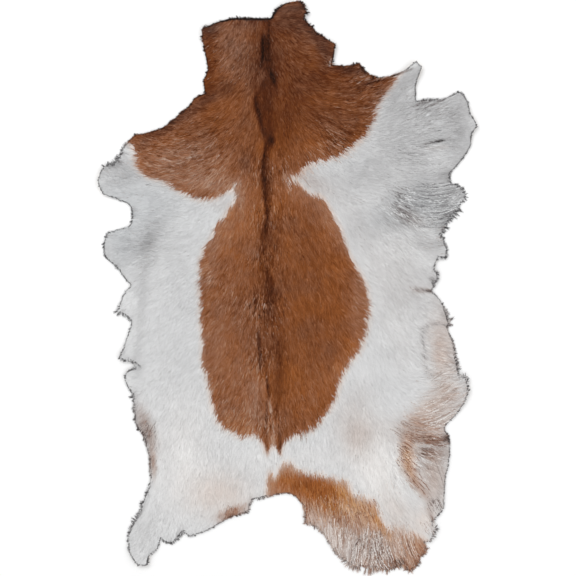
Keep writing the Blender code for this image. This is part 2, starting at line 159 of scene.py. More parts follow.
# Marks, loose hairs, fans and single strands
MARK_STRAY = 1.2  # how far a mark strays from its rows
MARK_SPREAD = 0.62  # part of its width over which a mark fades
WELL_INSIDE = 0.8  # how far inside the rim loose hairs and fans start
LOOSE_LIFT = 0.3  # loose hairs lie this far above the coat
LOOSE_LENGTH = (4.0, 8.0)
LOOSE_SPREAD = 0.32  # part of its mark's width
LOOSE_WIDTH = (0.6, 1.0)
LOOSE_TURN = 6.0
LOOSE_TONE = 0.07
FAN_STEP = 5.0  # from blade to blade along a strand
FAN_WIDTH = 1.35
FAN_LIFT = 0.7
FAN_OVERLAP = 1.7  # length of a blade in such steps
FAN_SHIFT = 0.12  # how far strands start and bow apart, as part of their length
FAN_BOW = 0.05
FAN_SIZE = (0.55, 1.0)
FAN_TONE = 0.06
FAN_TAPER = 0.45
STREAK_SPREAD = 0.8  # part of its row's reach
STREAK_INSIDE = 2.0  # how far inside the rim single strands start, and run on
STREAK_END = 1.0
STREAK_TONE = 0.05
STREAK_STEPS = 0.2  # blades for each millimetre
LEAST_STREAK_STEPS = 2
STREAK_SWAY = 3.0
STREAK_OVERLAP = 1.6
STREAK_TAPER = 0.35
STREAK_WIDTH = 0.75

# Tufts, and the dark hair along the rim that paints the shadow at the hide's edge
OVERHANG = -1.2  # hair past the rim where the solid has no lock: the cut skin shows
OVERHANG_SPREAD = 0.8
LOCK_SPAN = 5.0  # how far along the rim a lock of the solid makes the hair long
LONG_OVERHANG = 6.0  # overhang from which on tufts shade the coat fully
TUFT_SHADE = 0.19  # how much darker the coat is between the tufts of the rim
TUFT_SHADE_DEPTH = 6.0
TUFT_SHADE_PART = (0.5, 0.6)  # part of it that shows, evenly and with the strands
MOST_TUFT_SHADE = 1.2
RIM_LIFT = 0.1  # rim hair lies this far above the coat
SPIKES = 4  # spikes in the tuft that each lock of the solid makes
SPIKE_HAIRS = 6  # blades in a spike
SPIKE_ROOT = (0.5, 4.5)  # how far inside the rim a spike starts
SPIKE_INSIDE = 0.3  # and its blades at least
SPIKE_STRAY = 0.3  # how far a spike strays from its place in the tuft
SPIKE_REACH = (0.55, 1.25)
SPIKE_LEAN = 0.28
SPIKE_HALF_WIDTH = 0.36
SPIKE_FRAY = 0.15  # how far the tips of its blades stray
SPIKE_BLADE = (0.45, 0.80)
SPIKE_SHADE = 0.75  # how much darker the sides of a pale spike are
SPIKE_DARKNESS = (0.28, 0.70)
PALE_SPIKES = 0.36  # share of the spikes that are as pale as the coat
SPIKE_OF_PATCH = (1.0, 1.0, 1.0, 1.6)  # how light the spikes are at white, saddle, cape and rump
RIM_SPACING = 0.30  # the dark hair along the whole rim, painted shadow at the hide's edge
RIM_CLUMP = 3.2  # length of rim whose worn hair draws together in a point
RIM_CLUMP_STRAY = 0.12
RIM_CLUMPING = 0.8
RIM_LEAN = 0.5
RIM_PAST = 0.7  # how far it stands past the rim, and what points and chance add
RIM_POINTS = 0.5
RIM_FRAY = 0.2
RIM_DEPTH = (0.9, 3.2)  # how far inside the rim it starts
RIM_DEEPER = 1.1  # how much further in the rim is dark at the cape
RIM_BLADE = (0.8, 1.3)
RIM_COOLER = 0.6
RIM_DARKNESS = (0.16, 0.46)
RIM_OF_PATCH = (1.2, 1.0, 0.40, 2.3)  # how light the rim is at white, saddle, cape and rump

# Materials
NOISE_RANGE = (0.3, 0.7)  # where most of a noise's values lie
GRAIN = 0.3  # how strongly the flesh side's grain shows in its colour

Tone = namedtuple("Tone", "warmth light")
BROWN = Tone(0.94, 0.398)
WHITE = Tone(0.05, 0.875)
TAN = Tone(0.66, 0.60)
BROWN_NEAR_WHITE = Tone(-0.16, 0.085)  # what either coat's tone takes on where they meet
WHITE_NEAR_BROWN = Tone(0.30, -0.02)

Lie = namedtuple("Lie", "place x y angle")
Blotch = namedtuple("Blotch", "place x y long wide turn warmer lighter")
Mark = namedtuple("Mark", "x y width tinge warmth light hairs")
Fan = namedtuple("Fan", "place x y over_x over_y end_x end_y spread strands warmth light width")
Streak = namedtuple("Streak", "place coat x y reach count length warmth light")
Stop = namedtuple("Stop", "light red green blue")

# The brown patches. Outside the hide their outlines only close the shape.
SADDLE = (
    ("link, left", -86, 172),
    ("left waist", -86, 146),
    ("left shoulder", -102, 121),
    ("left shoulder, step", -119, 98),
    ("left side, upper", -131, 75),
    ("left side, corner", -144, 50),
    ("left side", -147, 8),
    ("left side, middle", -145, -48),
    ("left side, lower", -142, -92),
    ("left side, bulge", -141, -128),
    ("left hip", -132, -156),
    ("left hip, lower", -126, -197),
    ("left corner", -111, -229),
    ("foot, left", -84, -246),
    ("foot", -58, -249),
    ("left point, start", -44, -256),
    ("left point", -33, -273),
    ("between the points", -24, -261),
    ("right point", -13, -274),
    ("right point, end", -3, -255),
    ("foot, right", 20, -246),
    ("right corner", 43, -236),
    ("right hip", 66, -208),
    ("right hip, upper", 81, -183),
    ("right side, foot", 90, -153),
    ("right side, step", 103, -128),
    ("right side, lower", 123, -101),
    ("right side, bulge", 134, -60),
    ("right side, widest", 136, -36),
    ("right side", 131, 2),
    ("right side, upper", 117, 29),
    ("right neck", 102, 55),
    ("right shoulder, lower", 93, 85),
    ("right shoulder", 78, 116),
    ("right shoulder, top", 59, 146),
    ("right waist", 38, 152),
    ("right waist, step", 26, 163),
    ("right waist, tip", 14, 173),
    ("link, right", -5, 180),
)
CAPE = (
    ("link, right", -5, 180),
    ("right hem, tip", 17, 182),
    ("right hem, start", 30, 194),
    ("right hem, step", 42, 203),
    ("right hem", 63, 211),
    ("right hem, middle", 94, 220),
    ("right hem, rise", 127, 247),
    ("right corner", 145, 280),
    ("right side", 151, 302),
    ("right side, upper", 170, 329),
    ("right rim", 181, 350),
    ("past the right rim", 182, 384),
    ("past the crown", 60, 520),
    ("past the throat", -200, 520),
    ("past the left rim", -285, 275),
    ("left rim", -268, 245),
    ("left corner", -257, 231),
    ("left side", -253, 203),
    ("left hem, corner", -234, 184),
    ("left hem", -211, 177),
    ("left hem, middle", -186, 163),
    ("left hem, lower", -161, 150),
    ("left hem, lowest", -134, 144),
    ("left hem, rise", -111, 152),
    ("left hem, end", -92, 161),
    ("link, left", -86, 172),
)
RUMP_PATCH = (
    ("left rim", -34, -352),
    ("left point", -30, -308),
    ("left notch", -22, -318),
    ("tail, left", -9, -299),
    ("tail", 4, -294),
    ("tail, right", 17, -304),
    ("top", 36, -311),
    ("top, middle", 70, -318),
    ("top, right", 99, -325),
    ("right shoulder", 112, -350),
    ("right side, upper", 141, -357),
    ("right side", 155, -388),
    ("right side, step", 166, -402),
    ("right side, lower", 190, -410),
    ("right corner", 226, -418),
    ("past the right rim", 246, -440),
    ("past the rump, right", 240, -500),
    ("past the rump, left", -35, -500),
)
PATCHES = (SADDLE, CAPE, RUMP_PATCH)
COATS = (WHITE, BROWN, BROWN, TAN)
CAPE_PATCH = 2

# The way the coat lies. Columns: place, x, y, angle that a hair points in
FLOW = (
    ("crown", 2, 456, 16),
    ("crown, right", 24, 440, -6),
    ("right of the crease", -12, 410, -62),
    ("right of the kink", -4, 345, -66),
    ("cheek", 38, 405, -10),
    ("right corner of the neck", 68, 392, -14),
    ("neck, right", 30, 350, -28),
    ("throat", -78, 438, -112),
    ("left corner of the neck", -122, 425, -150),
    ("left of the crease", -54, 390, -98),
    ("neck, left", -88, 385, -124),
    ("neck, left side", -122, 370, -140),
    ("neck, left foot", -80, 335, -128),
    ("neck foot, left rim", -126, 322, -168),
    ("mane, upper", -34, 330, -84),
    ("mane", -38, 290, -86),
    ("mane, foot", -30, 250, -92),
    ("spine, shoulder", -38, 200, -90),
    ("spine, back", -38, 120, -90),
    ("spine, middle", -40, 20, -90),
    ("spine, loin", -40, -80, -90),
    ("spine, croup", -34, -190, -90),
    ("spine, tail", -24, -262, -90),
    ("tail", -20, -325, -92),
    ("left of the mane", -66, 300, -112),
    ("left of the spine, shoulder", -62, 235, -104),
    ("cape, left of middle", -96, 265, -140),
    ("cape, left inner", -98, 215, -128),
    ("cape, left hem", -100, 178, -122),
    ("cape, left top", -140, 300, -170),
    ("cape, left", -140, 250, -160),
    ("cape, left low", -140, 205, -154),
    ("cape, left lowest", -140, 162, -132),
    ("cape, far left top", -190, 262, 180),
    ("cape, far left", -190, 215, 179),
    ("cape, far left low", -180, 180, -168),
    ("cape corner", -238, 240, 163),
    ("cape, left side", -240, 208, 178),
    ("leg hair, left", -282, 206, 146),
    ("left foreleg, top", -268, 226, 150),
    ("left foreleg", -286, 178, 180),
    ("left foreleg, inner", -235, 160, -176),
    ("left armpit", -236, 128, -163),
    ("left chest, upper", -185, 140, -170),
    ("left chest", -180, 105, -176),
    ("left chest, inner", -128, 122, -134),
    ("left armpit, lower", -236, 104, 180),
    ("left elbow, upper", -284, 78, -176),
    ("left elbow", -280, 45, -160),
    ("left side, upper", -195, 72, -165),
    ("left side, inner", -150, 82, -148),
    ("left side", -225, 20, -146),
    ("left flank, middle", -190, -25, -132),
    ("left flank, rim", -258, -20, -150),
    ("left flank, lower", -195, -100, -124),
    ("left flank, lower rim", -252, -95, -142),
    ("left flank lobe", -254, -145, -156),
    ("left thigh, inner", -160, -150, -114),
    ("left thigh", -205, -180, -116),
    ("left thigh, rim", -240, -205, -124),
    ("left hip, outer", -150, -225, -99),
    ("left shank, upper rim", -218, -260, -108),
    ("left shank, upper", -175, -285, -96),
    ("left rump, inner", -120, -280, -97),
    ("left rump", -70, -300, -94),
    ("left shank, rim", -214, -335, -106),
    ("left shank", -170, -345, -94),
    ("left rump, rim", -110, -360, -93),
    ("rump, left", -55, -345, -95),
    ("left leg, inner rim", -150, -395, -98),
    ("left leg, lower", -195, -400, -97),
    ("left leg, outer", -240, -395, -126),
    ("left paw", -242, -442, -124),
    ("saddle, left waist", -70, 150, -97),
    ("saddle, left shoulder", -92, 105, -114),
    ("saddle, left upper", -70, 55, -101),
    ("saddle, left corner", -120, 50, -128),
    ("saddle, left side", -135, 5, -143),
    ("saddle, left middle", -95, -5, -119),
    ("saddle, left side low", -132, -60, -136),
    ("saddle, left low", -92, -80, -114),
    ("saddle, left inner low", -62, -120, -104),
    ("saddle, left hip rim", -128, -130, -124),
    ("saddle, left hip", -92, -165, -116),
    ("saddle, left foot", -72, -218, -118),
    ("saddle, left corner foot", -108, -215, -118),
    ("saddle, right waist", 4, 150, -82),
    ("saddle, right shoulder", 48, 130, -64),
    ("saddle, right upper", 22, 80, -76),
    ("saddle, right upper side", 76, 88, -62),
    ("saddle, right middle", 24, 0, -76),
    ("saddle, right", 70, 20, -62),
    ("saddle, right side", 114, 14, -50),
    ("saddle, right widest", 120, -40, -40),
    ("saddle, right low", 66, -55, -62),
    ("saddle, right foot side", 106, -98, -56),
    ("saddle, right hip", 74, -125, -60),
    ("saddle, right inner low", 20, -110, -80),
    ("saddle, right foot", 44, -200, -67),
    ("saddle, right inner foot", 8, -225, -80),
    ("cape, right of mane", 0, 295, -62),
    ("cape, right inner low", 8, 225, -70),
    ("cape, right middle", 42, 300, -26),
    ("cape, right hem", 42, 228, -50),
    ("cape, right", 80, 325, -2),
    ("cape, right mid low", 85, 280, -16),
    ("cape, right hem side", 88, 243, -38),
    ("cape, shoulder rim", 112, 355, 20),
    ("cape, shoulder", 126, 322, 30),
    ("cape, rolled edge", 160, 340, 28),
    ("cape, right corner", 126, 284, 8),
    ("cape, right rise", 112, 260, -16),
    ("right elbow", 200, 350, 36),
    ("right chest, top", 176, 302, 27),
    ("right foreleg, top", 228, 303, 28),
    ("right foreleg", 262, 280, 12),
    ("right foreleg, tip", 292, 300, 22),
    ("right foreleg, point", 300, 262, -2),
    ("right chest", 172, 262, 8),
    ("right chest, lower", 200, 225, 0),
    ("right foreleg, low", 270, 228, -12),
    ("right chest, inner", 130, 215, -18),
    ("white shoulder, right", 66, 190, -42),
    ("right side, top", 120, 172, -18),
    ("right side, upper", 180, 176, -14),
    ("armpit, right", 250, 184, 4),
    ("belly, inner", 178, 148, -23),
    ("belly", 226, 148, 3),
    ("belly, rim", 276, 142, 24),
    ("belly, lower rim", 256, 108, 14),
    ("belly swirl", 198, 115, -36),
    ("belly, foot", 158, 92, -34),
    ("right side, inner", 110, 95, -46),
    ("belly, whorl", 140, 72, -50),
    ("flank bulge, right", 238, 70, 4),
    ("right side, low", 188, 72, -42),
    ("right flank, inner", 144, 35, -50),
    ("right flank, upper", 190, 15, -46),
    ("right flank, rim", 234, 18, -30),
    ("right flank", 176, -40, -50),
    ("right flank, outer", 238, -38, -24),
    ("right flank, low", 150, -90, -62),
    ("flank roll", 205, -100, -44),
    ("right thigh, front", 256, -100, -12),
    ("right thigh, rim", 282, -142, 12),
    ("right thigh, outer", 280, -180, 24),
    ("right thigh", 225, -165, -6),
    ("right hip", 130, -160, -70),
    ("right thigh, inner", 180, -190, -48),
    ("right thigh, low", 236, -212, -4),
    ("right rump, upper", 95, -235, -78),
    ("right rump, inner", 40, -270, -80),
    ("right hip, low", 122, -265, -98),
    ("right shank, inner", 152, -262, -80),
    ("tan streak, top", 190, -240, -34),
    ("turned leg, top", 222, -248, -19),
    ("tan streak", 196, -298, -38),
    ("turned leg, upper", 246, -275, -24),
    ("turned leg", 240, -315, -44),
    ("tan streak, low", 222, -340, -38),
    ("right shank", 156, -320, -70),
    ("turned leg, corner", 250, -355, -62),
    ("right shank, low", 196, -375, -62),
    ("leg stub", 238, -400, -46),
    ("leg stub, low", 222, -424, -54),
    ("rump patch, left", 6, -325, -90),
    ("rump patch, tail", 40, -372, -80),
    ("rump patch, top", 74, -340, -84),
    ("rump patch, right top", 118, -358, -64),
    ("rump patch, middle", 90, -385, -88),
    ("rump slope", 70, -408, -92),
    ("rump, dark streak", 108, -422, -116),
    ("rump, long hair", 142, -430, -104),
    ("rump, long hair right", 164, -415, -76),
    ("rump, swept lock", 160, -452, -66),
    ("rump, long hair corner", 196, -432, -72),
    ("rump, right rim", 206, -455, -62),
)

# How long the hair is. Columns: place, x, y, reach, length
LENGTHS = (
    ("neck", -40, 400, 90, 9),
    ("cape", -60, 260, 110, 13),
    ("right foreleg", 270, 270, 70, 14),
    ("left foreleg", -280, 180, 60, 14),
    ("saddle", -10, -40, 140, 15),
    ("belly, right", 230, 140, 60, 27),
    ("left flank", -240, -60, 80, 16),
    ("thigh, right", 262, -160, 60, 23),
    ("turned leg", 245, -320, 50, 18),
    ("rump", 140, -430, 70, 34),
    ("left hind leg", -235, -410, 60, 13),
)

# Where the coat is rougher than elsewhere. Columns: place, x, y, reach, roughness added
ROUGH = (
    ("neck, left", -90, 400, 55, 0.25),
    ("neck, right", 20, 400, 60, 0.3),
    ("cape, left", -150, 230, 60, 0.6),
    ("cape, left low", -210, 215, 40, 0.4),
    ("cape, right", 60, 290, 60, 0.12),
    ("cape, right hem", 74, 240, 34, 0.8),
    ("shoulder tuft", 114, 352, 30, 0.9),
    ("rolled edge", 140, 325, 34, 0.4),
    ("left foreleg", -286, 196, 30, 0.8),
    ("left shoulder dip", -230, 82, 36, 0.55),
    ("right foreleg, top", 230, 302, 34, 1.5),
    ("right shoulder", 190, 256, 60, 0.55),
    ("right foreleg", 250, 226, 60, 0.5),
    ("belly swirl", 190, 125, 44, 1.9),
    ("belly, rim", 264, 120, 34, 2.6),
    ("right side, low", 190, 76, 34, 0.5),
    ("right flank", 190, 0, 60, 0.3),
    ("right flank, low", 230, -60, 40, 0.5),
    ("spine, shoulder", -36, 200, 26, 0.7),
    ("spine, withers", -32, 125, 26, 0.8),
    ("spine, back", -36, 60, 22, 0.9),
    ("spine, loin", -42, -20, 26, 1.1),
    ("spine, croup", -41, -110, 21, 1),
    ("spine, tail", -34, -215, 20, 1.2),
    ("saddle, left", -110, -10, 60, 0.2),
    ("saddle, left corner", -128, 20, 26, 0.3),
    ("saddle, left low", -90, -200, 50, 0.4),
    ("saddle, right foot", 40, -210, 50, 0.2),
    ("right hip, low", 116, -250, 30, 0.4),
    ("tan streak", 204, -285, 30, 2.8),
    ("turned leg", 240, -300, 60, 0.4),
    ("turned leg, top", 232, -244, 32, 1.7),
    ("right thigh", 262, -120, 36, 1.5),
    ("right thigh, rim", 274, -175, 40, 1.7),
    ("left thigh rim", -238, -236, 26, 1.6),
    ("left paw", -235, -430, 40, 0.9),
    ("left paw, foot", -190, -396, 24, 0.9),
    ("rump", 84, -378, 50, 1.5),
    ("rump, long hair", 146, -442, 50, 2.6),
)

# Changes of tone in brown hair, then in white. Columns: place, x, y, half length, half width,
# turn of its length, warmer, lighter
BROWN_BLOTCHES = (
    ("saddle, right of the spine", 50, -20, 190, 70, 90, 0.01, -0.03),
    ("saddle, left of the spine", -95, -40, 170, 45, 90, -0.06, 0.02),
    ("saddle, left shoulder", -72, 106, 60, 34, 70, 0.02, 0.08),
    ("saddle, left low", -84, -160, 60, 40, 90, -0.07, 0.05),
    ("saddle, right low", 36, -175, 50, 40, 90, 0.04, 0.04),
    ("saddle, left rim, red", -136, -20, 20, 8, 90, 0.08, 0),
    ("saddle, left upper rim", -106, 92, 50, 14, 62, -0.08, 0.06),
    ("saddle, left corner", -130, 14, 36, 16, 90, -0.05, 0.07),
    ("saddle, left waist rim", -78, 146, 28, 13, 90, -0.12, 0.03),
    ("saddle, left, rosy", -122, -90, 64, 20, 88, -0.14, 0.03),
    ("saddle, right waist rim", 12, 158, 32, 18, -40, -0.1, 0.08),
    ("saddle, right shoulder rim", 68, 112, 60, 15, -60, -0.16, 0.09),
    ("saddle, right side rim", 118, -28, 74, 16, 88, -0.15, 0.06),
    ("saddle, foot", -62, -225, 50, 24, 0, -0.09, 0.11),
    ("tail", -26, -258, 12, 18, 0, -0.04, 0.06),
    ("saddle, spine side", -30, 0, 150, 26, 90, 0, -0.05),
    ("beside the spine, tail", -8, -140, 90, 8, 90, 0.05, -0.05),
    ("neck, top left", -92, 395, 50, 34, 90, -0.22, -0.01),
    ("neck, left rim", -131, 370, 70, 13, 86, 0.12, -0.13),
    ("neck, left foot", -106, 326, 44, 16, 10, 0.07, -0.07),
    # painted shade beside the neck crease
    ("neck, beside the crease", -38, 374, 70, 24, 90, 0.05, -0.155),
    ("crown rim", 12, 464, 44, 9, 6, -0.16, -0.09),
    ("neck, left corner", -128, 430, 18, 12, 30, -0.25, -0.12),
    ("neck, right corner", 66, 390, 34, 14, 90, -0.06, -0.12),
    ("shoulder tuft rim", 104, 362, 30, 10, 0, -0.1, -0.12),
    ("neck, top right", 10, 440, 40, 25, 0, -0.12, -0.13),
    ("neck, right", 20, 366, 70, 45, 90, 0, -0.1),
    ("cape, left", -158, 246, 56, 28, 0, -0.04, -0.045),
    ("cape, left low", -190, 210, 70, 30, 0, -0.25, 0.075),
    ("cape, left rim", -199, 271, 84, 12, 34, -0.1, -0.14),
    ("cape, left, golden", -118, 290, 44, 18, 12, -0.02, 0),
    ("cape, left hem, pale", -136, 171, 64, 18, -6, -0.17, 0.13),
    ("cape, middle", -70, 228, 66, 20, 90, -0.06, -0.03),
    ("cape, left hem, inner", -106, 198, 26, 14, 60, -0.12, 0.05),
    ("cape, right", 66, 285, 80, 56, 0, -0.01, -0.07),
    ("cape, right top", 90, 344, 60, 16, 0, 0, -0.08),
    ("cape, right hem", 110, 254, 44, 15, 36, 0, -0.06),
    ("waist", 2, 182, 30, 14, 90, -0.08, 0),
    ("cape, right hem, start", 46, 225, 32, 12, 14, -0.09, 0.08),
    ("neck, top, left of the crease", -72, 438, 34, 14, 0, -0.08, 0),
    ("neck foot, middle", -64, 328, 34, 12, 80, -0.12, 0),
    ("cape, left top rim", -130, 314, 36, 12, 20, -0.14, 0),
    ("neck, right rim", 50, 412, 30, 12, -60, -0.12, -0.06),
    ("saddle, left side, rosy", -128, 40, 60, 10, 80, -0.1, 0.02),
    ("cape, foot of the mane", -2, 264, 60, 24, 90, 0.06, -0.08),
    ("mane", -35, 290, 45, 12, 90, 0.05, -0.1),
    ("rump, orange", 22, -330, 54, 20, -12, 0.34, -0.16),
    ("rump, orange, right", 76, -342, 40, 14, -22, 0.28, -0.1),
    ("rump, tan", 120, -370, 48, 24, -40, 0.15, 0.14),
    ("rump, cream", 56, -400, 40, 18, -38, -0.16, 0.13),
    ("rump, long hair", 128, -436, 50, 30, 0, -0.34, 0.12),
    ("rump, orange, middle", 66, -362, 36, 12, -35, 0.28, -0.05),
    ("rump, top right, pale", 118, -346, 22, 10, -30, -0.12, 0.08),
    ("rump, right side, tan", 156, -390, 30, 11, -60, 0.26, -0.07),
    ("rump slope, cream", 72, -424, 50, 13, -42, -0.14, 0.11),
    ("rump, tan corner", 212, -426, 18, 20, 0, 0.07, 0),
    # painted shade along the top rim of the neck
    ("neck, top rim", -66, 436, 56, 13, 2, 0, -0.06),
    ("saddle, right hip rim", 87, -136, 46, 13, 54, -0.05, 0.09),
    ("cape, right rim", 158, 326, 34, 12, 52, -0.14, 0),
    ("beside the tail, left", -52, -186, 54, 14, 90, -0.14, 0.05),
)
WHITE_BLOTCHES = (
    ("white, notch at the waist", -112, 138, 28, 12, -30, 0.06, -0.06),
    ("white leg, foot", 190, -404, 24, 9, -30, 0.2, -0.05),
    ("white, upper right", 200, 250, 110, 80, 0, 0, -0.11),
    ("white, right shoulder", 120, 180, 70, 30, 0, 0, -0.06),
    ("white, beside the waist", 112, 104, 76, 26, 112, 0.02, -0.05),
    ("white, tip at the waist", 42, 174, 40, 17, -38, 0.12, -0.1),
    ("white, right rim", 288, 268, 70, 20, 86, 0, -0.11),
    ("right foreleg, top", 232, 300, 50, 16, 0, 0, -0.1),
    ("white, upper left", -250, 140, 80, 50, 0, -0.04, -0.08),
    ("left foreleg", -280, 196, 44, 26, 0, 0, -0.13),
    ("left elbow", -276, 70, 46, 34, 90, -0.03, -0.09),
    ("left side", -206, -10, 110, 60, 90, 0, -0.02),
    ("left shoulder dip", -230, 82, 42, 22, 60, 0, -0.1),
    ("left chest", -165, 105, 50, 26, 0, 0, 0.025),
    ("left shoulder dip, middle", -231, 78, 15, 8, 60, 0, -0.08),
    ("belly, right", 200, 126, 66, 32, 20, -0.04, -0.14),
    ("belly, upper", 240, 160, 44, 26, 0, 0, -0.1),
    ("belly smudge", 202, 118, 26, 12, -25, 0.08, -0.14),
    # painted shade in the notch at the armpit
    ("armpit, right", 266, 186, 14, 9, 0, 0, -0.16),
    # painted shade below the belly's rim
    ("armpit, right, lower", 240, 68, 36, 13, -10, 0, -0.11),
    ("right elbow", 205, 348, 30, 12, 36, 0, -0.15),
    ("belly rim", 270, 152, 24, 10, 60, 0, -0.1),
    ("belly tufts", 264, 112, 34, 16, 60, 0, -0.09),
    ("right flank", 180, 10, 110, 56, 90, 0.045, -0.032),
    ("right armpit, foot", 226, 18, 30, 20, 0, 0, -0.05),
    ("right hip, outer", 196, -112, 40, 22, 90, 0.02, -0.02),
    ("right hip, foot", 138, -234, 40, 24, 0, 0.06, -0.04),
    ("right flank, rim", 264, -60, 70, 14, 100, 0.06, -0.06),
    ("right flank, low", 220, -20, 40, 24, 0, 0, -0.05),
    ("white, low left", -170, -280, 90, 50, 90, 0.07, 0.045),
    ("left paw", -236, -412, 56, 24, 66, 0.01, -0.03),
    ("white, low middle", 10, -285, 90, 26, 0, 0.05, 0.03),
    ("white, low right", 150, -304, 84, 46, 110, 0.12, 0.07),
    ("right hip, faint pink", 116, -255, 30, 24, 90, 0.12, -0.08),
    ("right hip, rosy", 106, -206, 46, 26, 60, 0.08, -0.05),
    ("right thigh", 256, -110, 55, 21, 95, 0.28, -0.1),
    ("right thigh, rim", 274, -185, 34, 22, 70, 0.16, -0.05),
    ("right thigh, tan", 230, -229, 42, 18, 6, 0.3, -0.17),
    ("right thigh, tan, upper", 234, -200, 38, 16, 42, 0.3, -0.09),
    # its darkening is painted shade under the fold, its warmth the leg's own tan
    ("turned leg, under the fold", 238, -273, 32, 11, 0, 0.2, -0.24),
    ("turned leg", 244, -308, 60, 22, 92, 0.26, -0.15),
    ("beside the turned leg", 182, -372, 34, 22, -40, 0.14, -0.05),
    # its darkening is painted shade in the crease, its warmth the leg's own tan
    ("turned leg, crease", 234, -252, 44, 8, 4, 0.2, -0.24),
    ("leg stub", 226, -392, 26, 18, 60, 0.2, 0),
    ("left thigh rim, speckle", -235, -234, 32, 11, 112, 0.3, -0.32),
    ("left shank rim, brown", -224, -290, 24, 5, 95, 0.35, -0.24),
    ("left side rim", -246, -60, 150, 9, 86, 0, -0.065),
    ("left rump, cream", -112, -344, 54, 34, 0, 0.26, -0.025),
    ("left rump rim, brown", -92, -374, 25, 7, 22, 0.5, -0.36),
    ("right elbow, foot", 184, 324, 24, 18, 60, 0, -0.06),
)
